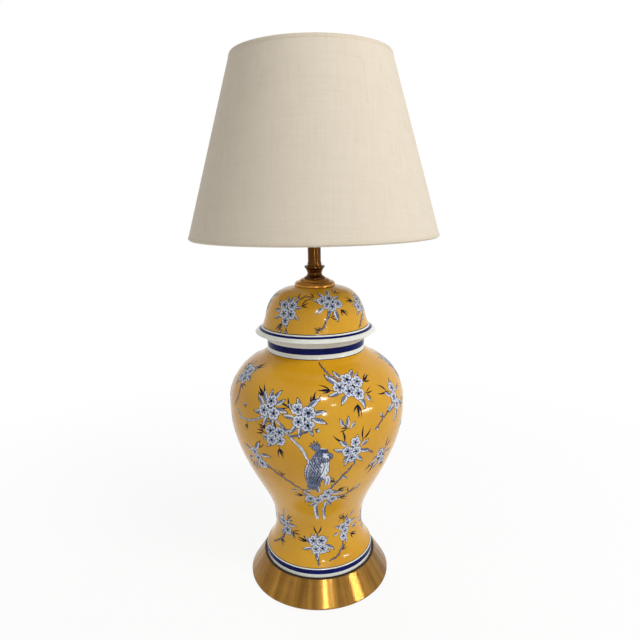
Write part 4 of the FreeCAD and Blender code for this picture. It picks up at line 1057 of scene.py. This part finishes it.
# front of the jar: (angle, height), blossoms, leaves, sprigs, size
jarClusters = [
    ((-66, 343), four, (20, 90, 200, 280), (40, 150), 1.0),
    ((-29.3, 315), three, (-5, 55, 100, -75, 200), (-45, 150), 1.05),
    ((-8, 308), [(-6.5, 9), (7, 5), (-5, -6), (6.5, -10)], (-10, 70, 110, 215, -95, 150), (35, -60), 1.08),
    ((23, 340), five, (-20, 20, 60, 215, 250, 290), (80, 165, 265), 1.12),
    ((59.3, 311), [(0, 14), (-3, 1), (3, -11)], (0, 60, 180, 240), (-50, 130), 1.0),
    ((-25, 279), four, (-110, 200, 240), (-60, 165, -85, -15), 0.95),
    ((22.5, 257), [(2, 11), (-9, -1), (4, -3), (-2, -12)], (-60, -85, 100, 230, 75, 200), (-45, 45), 1.0),
    ((47.5, 229), pair, (-30, 70, 200, 290), (20, 150, 240), 0.95),
    ((-42.5, 236), [(-3, 8), (2, -2), (7, -11)], (-60, 200, 250, 60), (20, 220), 0.95),
    ((2.5, 175), [(-16, -3), (-4, -7), (6, 2), (11, 12), (18, -6)],
     (-85, 70, 90, 110, 50, 200, 150), (-80, 100, 60), 0.92),
    ((-47.5, 100), pair, (0, 60, 180, 250), (110, 30), 0.92),
    ((-1.5, 80), [(-7, 7), (6, 7), (-3, -7), (8, -6)], (-30, 40, 90, 250, 130), (0, -75), 0.92),
    ((36, 99), [(-6, 5), (5, 10), (0, -5), (-4, -14)], (-60, 60, 110, 250), (-15, 140), 0.85),
]
jarBranches = [  # (angle, height) along it, half widths at both ends, whether it has pale bark
    ([(-55.4, 289), (-42.4, 292), (-30.6, 304), (-22.9, 298.5), (-15.6, 280), (-9.9, 266), (-6.6, 252),
      (-5.2, 241)], 1.0, 1.8, True),
    ([(-15.6, 280), (-9, 285), (-4.5, 291)], 1.0, 0.5, False),
    ([(3.3, 366), (8, 358), (13.2, 351), (20, 344)], 0.5, 1.3, False),
    ([(59, 318), (53.2, 303.5), (45, 292), (37.2, 279.6)], 1.2, 0.5, False),
    ([(-40, 230), (-31.3, 221), (-24, 209), (-12, 191), (-6, 184)], 1.2, 0.6, False),
    ([(24.8, 245), (24, 233.5), (18.7, 219), (13.2, 204), (8, 186)], 0.7, 1.2, False),
    ([(8, 176), (16, 174), (24.4, 176), (33.4, 184)], 1.1, 0.5, False),
    ([(-2, 164), (-2.6, 146), (-1.2, 127)], 2.9, 2.4, True),
    ([(7, 164), (5.4, 146), (6.8, 126)], 1.9, 1.5, True),
    ([(-47, 92), (-54, 75), (-72, 58)], 1.1, 0.4, False),
    ([(38, 90), (32, 76), (22.6, 62), (12, 57)], 1.1, 0.5, False),
    ([(38, 245), (31, 252), (26, 256)], 0.5, 1.0, False),
    ([(-62, 330), (-60, 316), (-63, 300)], 1.0, 0.4, False),
    ([(-1.2, 74), (-1.4, 62), (-1.0, 54)], 1.0, 0.6, False),
]
jarExtras = [  # (angle, height), motif, direction, size
    ((-49, 305), "bud", -20, 0.9), ((-53, 293), "leaf", -80, 0.7), ((-47, 284), "sprig", 200, 0.7),
    ((-5, 292), "bud", 60, 0.9), ((-1.5, 292), "bud", 110, 0.9), ((16, 292), "leaf", -25, 0.95),
    ((18, 291), "leaf", 10, 1.0), ((20, 289), "leaf", 40, 0.85), ((18, 290), "sprig", -70, 0.8),
    ((30, 327), "leaf", 165, 0.9), ((33, 327), "leaf", 140, 0.8), ((34, 330), "sprig", 100, 0.8),
    ((44, 292), "bud", -30, 0.9), ((40, 284), "bud", 200, 0.8), ((12, 205), "sprig", -50, 0.8),
    ((16, 214), "leaf", 110, 0.75), ((31, 183), "leaf", 50, 0.8), ((26, 178), "sprig", 10, 0.8),
    ((-11, 188), "leaf", 60, 0.8), ((-15, 187), "leaf", -80, 0.8), ((-25, 214), "sprig", 20, 0.75),
    ((27, 120), "sprig", 30, 0.8), ((42, 118), "leaf", 20, 0.75), ((28, 68), "sprig", 60, 0.75),
    ((-56, 72), "sprig", 100, 0.8), ((-44, 122), "leaf", 5, 0.8), ((-70, 262), "leaf", 150, 0.8),
    ((-72, 268), "sprig", 30, 0.8), ((70, 270), "leaf", 170, 0.85), ((72, 262), "sprig", 120, 0.8),
]
sideClusters = [
    ((91, 343), four, (0, 90, 180, 270), (45, 225, 130), 1.05),
    ((-92, 300), five, (0, 80, 150, 230, 300), (40, 190, 275), 1.05),
    ((88, 246), three, (30, 100, 200, 290), (60, 240, 330), 1.0),
    ((-89, 190), three, (10, 100, 190, 280), (50, 230, 140), 0.92),
    ((86, 96), four, (0, 70, 150, 250), (30, 200, 300), 0.88),
    ((-91, 104), three, (20, 110, 200, 290), (70, 250, 340), 0.88),
    ((92, 172), pair, (40, 130, 220, 320), (90, 180, 0), 0.85),
]
sideBranches = [
    ([(84, 330), (90, 312), (83, 296), (86, 280)], 1.2, 0.5, False),
    ([(-92, 282), (-86, 262), (-93, 240), (-88, 206)], 1.3, 0.7, False),
    ([(88, 232), (84, 210), (90, 190), (86, 172)], 1.1, 0.5, False),
    ([(86, 84), (94, 70), (103, 60)], 1.0, 0.4, False),
]
sideExtras = [
    ((97, 297), "bud", 70, 0.9), ((74, 297), "sprig", -80, 0.8), ((102, 226), "sprig", 100, 0.8),
    ((79, 208), "leaf", -50, 0.8), ((98, 70), "bud", 110, 0.8), ((-80, 254), "bud", 60, 0.9),
    ((-101, 246), "sprig", -70, 0.85), ((-76, 348), "sprig", 30, 0.8), ((-104, 352), "leaf", -40, 0.85),
    ((-98, 344), "leaf", 200, 0.8), ((-82, 142), "sprig", 20, 0.8), ((-97, 148), "leaf", -60, 0.75),
]


def paintMotifs(painting, branches, clusters, extras, back=False):  # back mirrors them onto the far side
    mirror = -1 if back else 1

    def faced(spot):
        return (180 - spot[0], spot[1]) if back else spot

    for spots, start, end, barked in branches:
        branch(painting, [faced(spot) for spot in spots], start, end, barked)
    for spot, blossoms, leaves, sprigs, size in clusters:
        cluster(painting, faced(spot), [(mirror * x, y) for x, y in blossoms],
                [mirror * d for d in leaves], [mirror * d for d in sprigs], size)
    for spot, motif, direction, size in extras:
        stamp(painting, motif, faced(spot), 0, 0, -mirror * direction, size)


def paintJar():
    painting = newPainting(newProfile("jar_profile", jarSide))
    angle, height = pattern["bird"]
    for back in (False, True):
        paintMotifs(painting, jarBranches, jarClusters, jarExtras, back)
        drawBird(painting, (180 - angle if back else angle, height), -1 if back else 1)
    paintMotifs(painting, sideBranches, sideClusters, sideExtras)
    finishPainting(painting, "jar")


hanging = [(-8, 10), (7, 10), (-5, -4), (8, -4), (0, -15)]
spreading = [(-12, 3), (1, 7), (3, -8), (14, -4), (-5, -5)]
lidClusters = [
    ((-34, 435), hanging, (-60, -20, 10, 65, 110, 240), (35, 65, 200), 0.88),
    ((19, 447), spreading, (-80, -40, 60, 110, 200), (-65, 40, 130), 0.86),
    ((68, 438), three, (-20, 60, 180, 250), (120, -60), 0.85),
    ((-88, 440), three, (0, 80, 190, 280), (40,), 0.85),
    ((-138, 435), hanging, (-60, 10, 65, 110, 240), (40, 200), 0.88),
    ((170, 446), five, (-80, -40, 60, 110, 200), (30, 160), 0.82),
    ((118, 436), four, (-20, 60, 180, 250), (120, -60), 0.85),
]
lidBranches = [([(16, 436), (12.5, 424), (9, 416), (0.8, 408)], 1.1, 0.5, False),
               ([(-36, 422), (-40, 414), (-46, 409)], 0.9, 0.4, False),
               ([(66, 424), (60, 415), (52, 409)], 1.0, 0.4, False),
               ([(178, 436), (186, 424), (194, 412)], 1.1, 0.5, False),
               ([(-92, 428), (-98, 418), (-106, 410)], 1.0, 0.4, False)]
lidExtras = [((-31, 412), "bud", 190, 0.75), ((-36, 410), "bud", 240, 0.7),
             ((18, 428), "sprig", 80, 0.75), ((5, 411), "sprig", -60, 0.6)]


def paintLid():
    painting = newPainting(newProfile("lid_profile", lidSide))
    paintMotifs(painting, lidBranches, lidClusters, lidExtras)
    finishPainting(painting, "lid")


paintJar()
paintLid()
for collection in motifs.values():
    for motif in list(collection.objects):
        bpy.data.objects.remove(motif)
    bpy.data.collections.remove(collection)
print("painted pattern done")


# The shade: linen stretched over a styrene cone, with its hems rolled over the wire rings

shade = {"sides": 200, "step": 3 * mm, "topRoll": (769.4, 774.9), "bottomRoll": (534.0, 537.6),
         "rollRows": 8, "rollProud": 0.04 * mm, "rollSunk": 0.2 * mm, "crown": 0.35 * mm,
         "slope": (560, 750), "seam": (539, 768), "lap": 10, "lapRows": 30, "yarn": 0.22 * mm,
         "slubs": 300, "slubSeed": 12, "shortest": 4 * mm, "longest": 26 * mm, "clothArea": 0.252}


def chartCloth(piece, spread):  # lays the cone out flat, as it was cut; spread is the sine of its half angle
    mesh = piece.data
    layer = mesh.uv_layers.new(name="flatCloth")
    for face in mesh.polygons:
        middle = math.atan2(face.center.x, -face.center.y)
        for corner in face.loop_indices:
            x, y, _ = mesh.vertices[mesh.loops[corner].vertex_index].co
            angle = math.atan2(x, -y)
            angle += 2 * math.pi * round((middle - angle) / (2 * math.pi))
            far = math.hypot(x, y) / spread
            layer.data[corner].uv = (far * math.sin(angle * spread), -far * math.cos(angle * spread))


def makeSlubScatter():  # thick places in the yarn, lying level or upright, and the lapped seam with them
    tree, given, result = newGroup(
        "slubScatter", "GeometryNodeTree",
        [("Lap", "Geometry", None), ("Slub", "Object", None), ("Profile", "Object", None),
         ("Finish", "Material", None), ("Count", "Int", 500), ("Seed", "Int", 1), ("Lowest", "Float", 0.01),
         ("Highest", "Float", 0.2), ("Shortest", "Float", 0.005), ("Longest", "Float", 0.03)],
        [("Geometry", "Geometry")])

    def chance(low, high, shift):
        sockets = {2: low, 3: high, 8: plus(tree, given["Seed"], shift)}
        return put(tree, "FunctionNodeRandomValue", sockets, data_type="FLOAT").outputs[1]

    points = put(tree, "GeometryNodePoints", {"Count": given["Count"]}).outputs[0]
    anchor = joined(tree, chance(-math.pi, math.pi, 0), chance(given["Lowest"], given["Highest"], 1))
    stored = {"Geometry": points, "Name": "anchor", "Value": anchor}
    anchored = put(tree, "GeometryNodeStoreNamedAttribute", stored,
                   data_type="FLOAT_VECTOR", domain="POINT").outputs[0]
    quarter = times(tree, maths(tree, "ROUND", chance(0.0, 1.0, 2)), math.pi / 2)
    length = chance(given["Shortest"], given["Longest"], 3)
    slub = put(tree, "GeometryNodeObjectInfo", {"Object": given["Slub"]}).outputs["Geometry"]
    laid = put(tree, "GeometryNodeInstanceOnPoints", {
        "Points": anchored, "Instance": slub, "Rotation": turnedFlat(tree, quarter),
        "Scale": joined(tree, chance(0.6, 1.3, 4), length, 1.0)}).outputs[0]
    wrapOn(tree, given, result, laid, given["Lap"])
    return tree


def rolledEdge(name, side, low, high):  # the rounded ridge of a hem where it turns over its wire
    count = shade["rollRows"]
    line = [pointAt(side, (low + (high - low) * i / count) * mm) for i in range(count + 1)]
    slope = math.atan2(line[-1][0] - line[0][0], line[-1][1] - line[0][1])
    outR, outZ = math.cos(slope), -math.sin(slope)
    outer, inner = [], []
    for index, (r, z) in enumerate(line):
        proud = shade["rollProud"] + shade["crown"] * math.sqrt(max(0.0, 1 - (2 * index / count - 1)**2))
        outer.append((r + outR * proud, z + outZ * proud))
        inner.append((r - outR * shade["rollSunk"], z - outZ * shade["rollSunk"]))
    # the roll's slightly darker linen is painted shade along the hem
    return turnedPiece(name, outer + inner[::-1], "linenSlubAndShade", shade["sides"])


def dressShade():
    outline = refined(sectionOf("shade_fabric"), shade["step"])
    foot = min(outline, key=lambda p: p[1])
    top = max(outline, key=lambda p: p[1])
    side = outerSide(outline, foot, top)
    cover = turnedPiece("linen_cover", outline, "linen", shade["sides"])
    low, high = [pointAt(side, height * mm) for height in shade["slope"]]
    spread = (low[0] - high[0]) / distance(low, high)
    rolls = [rolledEdge(name, side, *shade[key])
             for name, key in (("top_hem", "topRoll"), ("bottom_hem", "bottomRoll"))]

    profile = newProfile("shade_profile", side)
    start, end = [runAt(profile, height * mm) for height in shade["seam"]]
    strips, rows = blankLayers(("lap", "yarn")), shade["lapRows"]
    anchors = [(math.pi, start + (end - start) * i / rows, 0.0) for i in range(rows + 1)]
    lap = [(0.0, anchor[1]) for anchor in anchors]
    ribbon(strips, "lap", lap, [shade["lap"] / 2 * mm] * (rows + 1), anchors)
    yarn = tapered(9, shade["yarn"], start=0.2, end=0.2, peak=0.5)
    ribbon(strips, "yarn", [(0, i / 8 - 0.5) for i in range(9)], yarn)
    slub = bareObject("slub", strips["yarn"])
    seam = sheetPiece("shade_seam", strips["lap"], "linenSlubAndShade")
    settled(seam, makeSlubScatter(), {
        "Slub": slub, "Profile": profile["object"], "Finish": finishes["linenSlubAndShade"], "Count": shade["slubs"],
        "Seed": shade["slubSeed"], "Lowest": start + shade["longest"] / 2,
        "Highest": end - shade["longest"] / 2, "Shortest": shade["shortest"], "Longest": shade["longest"]})
    bpy.data.objects.remove(slub)

    for piece in (cover, *rolls, seam):
        chartCloth(piece, spread)
    standFor(cover, "shade", "shade_linen", "shade_fabric")
    for piece in (*rolls, seam):
        standFor(piece, "shade", "shade_linen")
    inside = refined(sectionOf("shade_liner"), shade["step"])
    lining = turnedPiece("shade_lining", inside, "liner", shade["sides"])
    standFor(lining, "shade", "shade_backing", "shade_liner")
    print("shade done:", len(seam.data.polygons), "faces of seam and slubs")


dressShade()


# The felt under the foot, with a cut edge that has gone a little woolly

feltPad = {"sides": 320, "step": 2 * mm, "facet": 4 * mm, "fuzz": 0.16 * mm, "thinned": 0.2, "seed": 5}


def layFelt():
    corners = refined(sectionOf("felt_pad"), feltPad["step"])
    outline = []
    for here, following in zip(corners, [*corners[1:], corners[0]]):
        count = max(1, round(distance(here, following) / feltPad["facet"]))
        for i in range(count):
            outline.append(tuple(here[k] + (following[k] - here[k]) * i / count for k in (0, 1)))
    pad = turnedPiece("felt_disc", outline, "felt", feltPad["sides"])
    dice = random.Random(feltPad["seed"])
    middle = sum(z for _, z in outline) / len(outline)
    for vertex in pad.data.vertices:
        share = 1 - dice.random() * feltPad["fuzz"] / max(vertex.co.xy.length, mm)
        flatter = 1 - feltPad["thinned"] * dice.random()
        vertex.co = (vertex.co.x * share, vertex.co.y * share, middle + (vertex.co.z - middle) * flatter)
    standFor(pad, "lamp", "felt", "felt_pad")


layFelt()
print("felt done")


# The camera

camera = {"place": (0.00678, -0.8125, 0.5872), "lens": 31.39, "sensor": 36, "tilt": 77.66, "roll": -0.89}


def addCamera():
    lens = bpy.data.cameras.new("front_camera")
    lens.lens = camera["lens"]
    lens.sensor_width = camera["sensor"]
    lens.clip_start = 0.01
    eye = bpy.data.objects.new("front_camera", lens)
    scene.collection.objects.link(eye)
    tilt = Matrix.Rotation(math.radians(camera["tilt"]), 4, "X")
    roll = Matrix.Rotation(math.radians(camera["roll"]), 4, "Z")
    eye.matrix_world = Matrix.Translation(camera["place"]) @ (tilt @ roll)
    scene.camera = eye


addCamera()

# what every node that keeps its CAD shape is finished with
kept = {
    "board": ["base_board"],
    "plinthBrass": ["brass_plinth"],
    "darkPlastic": ["cord_bushing", "switch_knob"],
    "rubber": ["seat_gasket", "cap_gasket", "rod_centring_washer"],
    "castIron": ["ballast_disc"],
    "zincSteel": ["rod_washer", "rod_nut", "threaded_rod", "switch_shaft", "socket_lock_nut"],
    # the vase cap has the lighter copy of the brass, with painted light
    "capBrassPaintedLight": ["vase_cap"],
    # the darker copy of the brass: aged, with painted shade
    "agedBrassPaintedShade": ["neck_spindle", "riser_tube", "tube_ferrule", "riser_cap", "finial"],
    "harpBrass": ["harp_saddle", "harp_wire", "harp_stud", "harp_sleeve_left", "harp_sleeve_right",
                  "shade_spider", "shade_top_ring", "shade_bottom_ring", "terminal_screws"],
    "socketBrass": ["socket_cap", "socket_shell", "socket_set_screw", "centre_contact", "bulb_contact"],
    "card": ["socket_liner"],
    "bulbPlastic": ["socket_interior", "bulb_body", "bulb_insulator"],
    "aluminium": ["screw_shell", "bulb_screw_base"],
    "frostedGlass": ["bulb_globe"],
}
for finish, names in kept.items():
    for name in names:
        nodes[name].data.materials.clear()
        nodes[name].data.materials.append(finishes[finish])
print("kept nodes finished:", sum(len(names) for names in kept.values()))


# Surroundings

surroundings = {"floorHalf": 6.0, "floorColour": (0.9, 0.9, 0.9, 1), "floorRoughness": 0.9,
                "floorGlow": 0.88, "glowFrom": 0.35, "glowTo": 1.1,
                "white": (1, 1, 1, 1), "sky": (1, 0.985, 0.96, 1), "skyStrength": 0.47}


def seenDirectly(tree):  # 1 for what the camera sees, also in a reflection or through a clear piece
    rays = put(tree, "ShaderNodeLightPath").outputs
    indirect = maths(tree, "MAXIMUM", rays["Is Glossy Ray"], rays["Is Transmission Ray"])
    return maths(tree, "MAXIMUM", rays["Is Camera Ray"], indirect)


def addFloor():
    look = surroundings
    surface = {"Base Color": look["floorColour"], "Roughness": look["floorRoughness"]}
    finishes["floor"], tree, shader, place = newFinish("pale_floor", surface)
    glow = put(tree, "ShaderNodeEmission", {0: look["white"], 1: 1.0}).outputs[0]
    far = put(tree, "ShaderNodeVectorMath", {0: place}, operation="LENGTH").outputs["Value"]
    share = times(tree, seenDirectly(tree),
                  remap(tree, far, look["glowFrom"], look["glowTo"], look["floorGlow"], 1.0))
    blend = put(tree, "ShaderNodeMixShader", {0: share, 1: shader.outputs[0], 2: glow}).outputs[0]
    tree.links.new(blend, tree.nodes["Material Output"].inputs[0])
    half = look["floorHalf"]
    corners = [(-half, -half, 0), (half, -half, 0), (half, half, 0), (-half, half, 0)]
    floor = newPiece("floor", corners, [(0, 1, 2, 3)], "floor")


def addWorld():
    world = bpy.data.worlds.new("studio")
    scene.world = world
    world.use_nodes = True
    tree = world.node_tree
    tree.nodes.clear()
    shown = put(tree, "ShaderNodeBackground", {0: surroundings["white"], 1: 1.0}).outputs[0]
    sky = {0: surroundings["sky"], 1: surroundings["skyStrength"]}
    soft = put(tree, "ShaderNodeBackground", sky).outputs[0]
    blend = put(tree, "ShaderNodeMixShader", {0: seenDirectly(tree), 1: soft, 2: shown}).outputs[0]
    tree.links.new(blend, put(tree, "ShaderNodeOutputWorld").inputs[0])


def addLamp(name, place, aim, size, watts):
    light = bpy.data.lights.new(name, "AREA")
    light.shape = "RECTANGLE"
    light.size, light.size_y = size
    light.energy = watts
    lamp = bpy.data.objects.new(name, light)
    scene.collection.objects.link(lamp)
    turn = (Vector(aim) - Vector(place)).to_track_quat("-Z", "Y")
    lamp.matrix_world = Matrix.Translation(place) @ turn.to_matrix().to_4x4()
    return lamp


addFloor()
addWorld()
softLamps = [  # name, place, aim, size, watts
    ("key", (1.45, -1.15, 1.85), (0, 0, 0.45), (0.9, 0.9), 32.5),
    ("fill", (-1.6, -1.2, 0.9), (0, 0, 0.4), (1.2, 1.2), 1.5),
    ("back", (-0.9, 1.8, 1.5), (0, 0, 0.45), (1.2, 1.2), 9),
]
for values in softLamps:
    addLamp(*values).visible_glossy = False
glints = [  # small windows that show only as glints in the glaze and the brass
    ("jar_glint", (0.137, -0.843, 1.01), (0.009, -0.121, 0.33), (0.13, 0.045), 3.2),
    ("jar_second_glint", (0.382, -0.948, 0.756), (0.023, -0.122, 0.322), (0.05, 0.04), 0.6),
    ("lid_glint", (0.113, -0.853, 1.048), (0.004, -0.067, 0.438), (0.05, 0.08), 0.8),
    ("plinth_streak", (0.137, -0.889, 0.429), (0.008, -0.094, 0.026), (0.045, 0.1), 1.3),
    ("plinth_glint", (0.83, -0.47, 0.31), (0.056, -0.088, 0.012), (0.24, 0.05), 1.7),
]
for values in glints:
    glint = addLamp(*values)
    glint.visible_diffuse = glint.visible_camera = False
print("surroundings done:", len(softLamps) + len(glints), "lamps")

scene.view_settings.view_transform = "Standard"
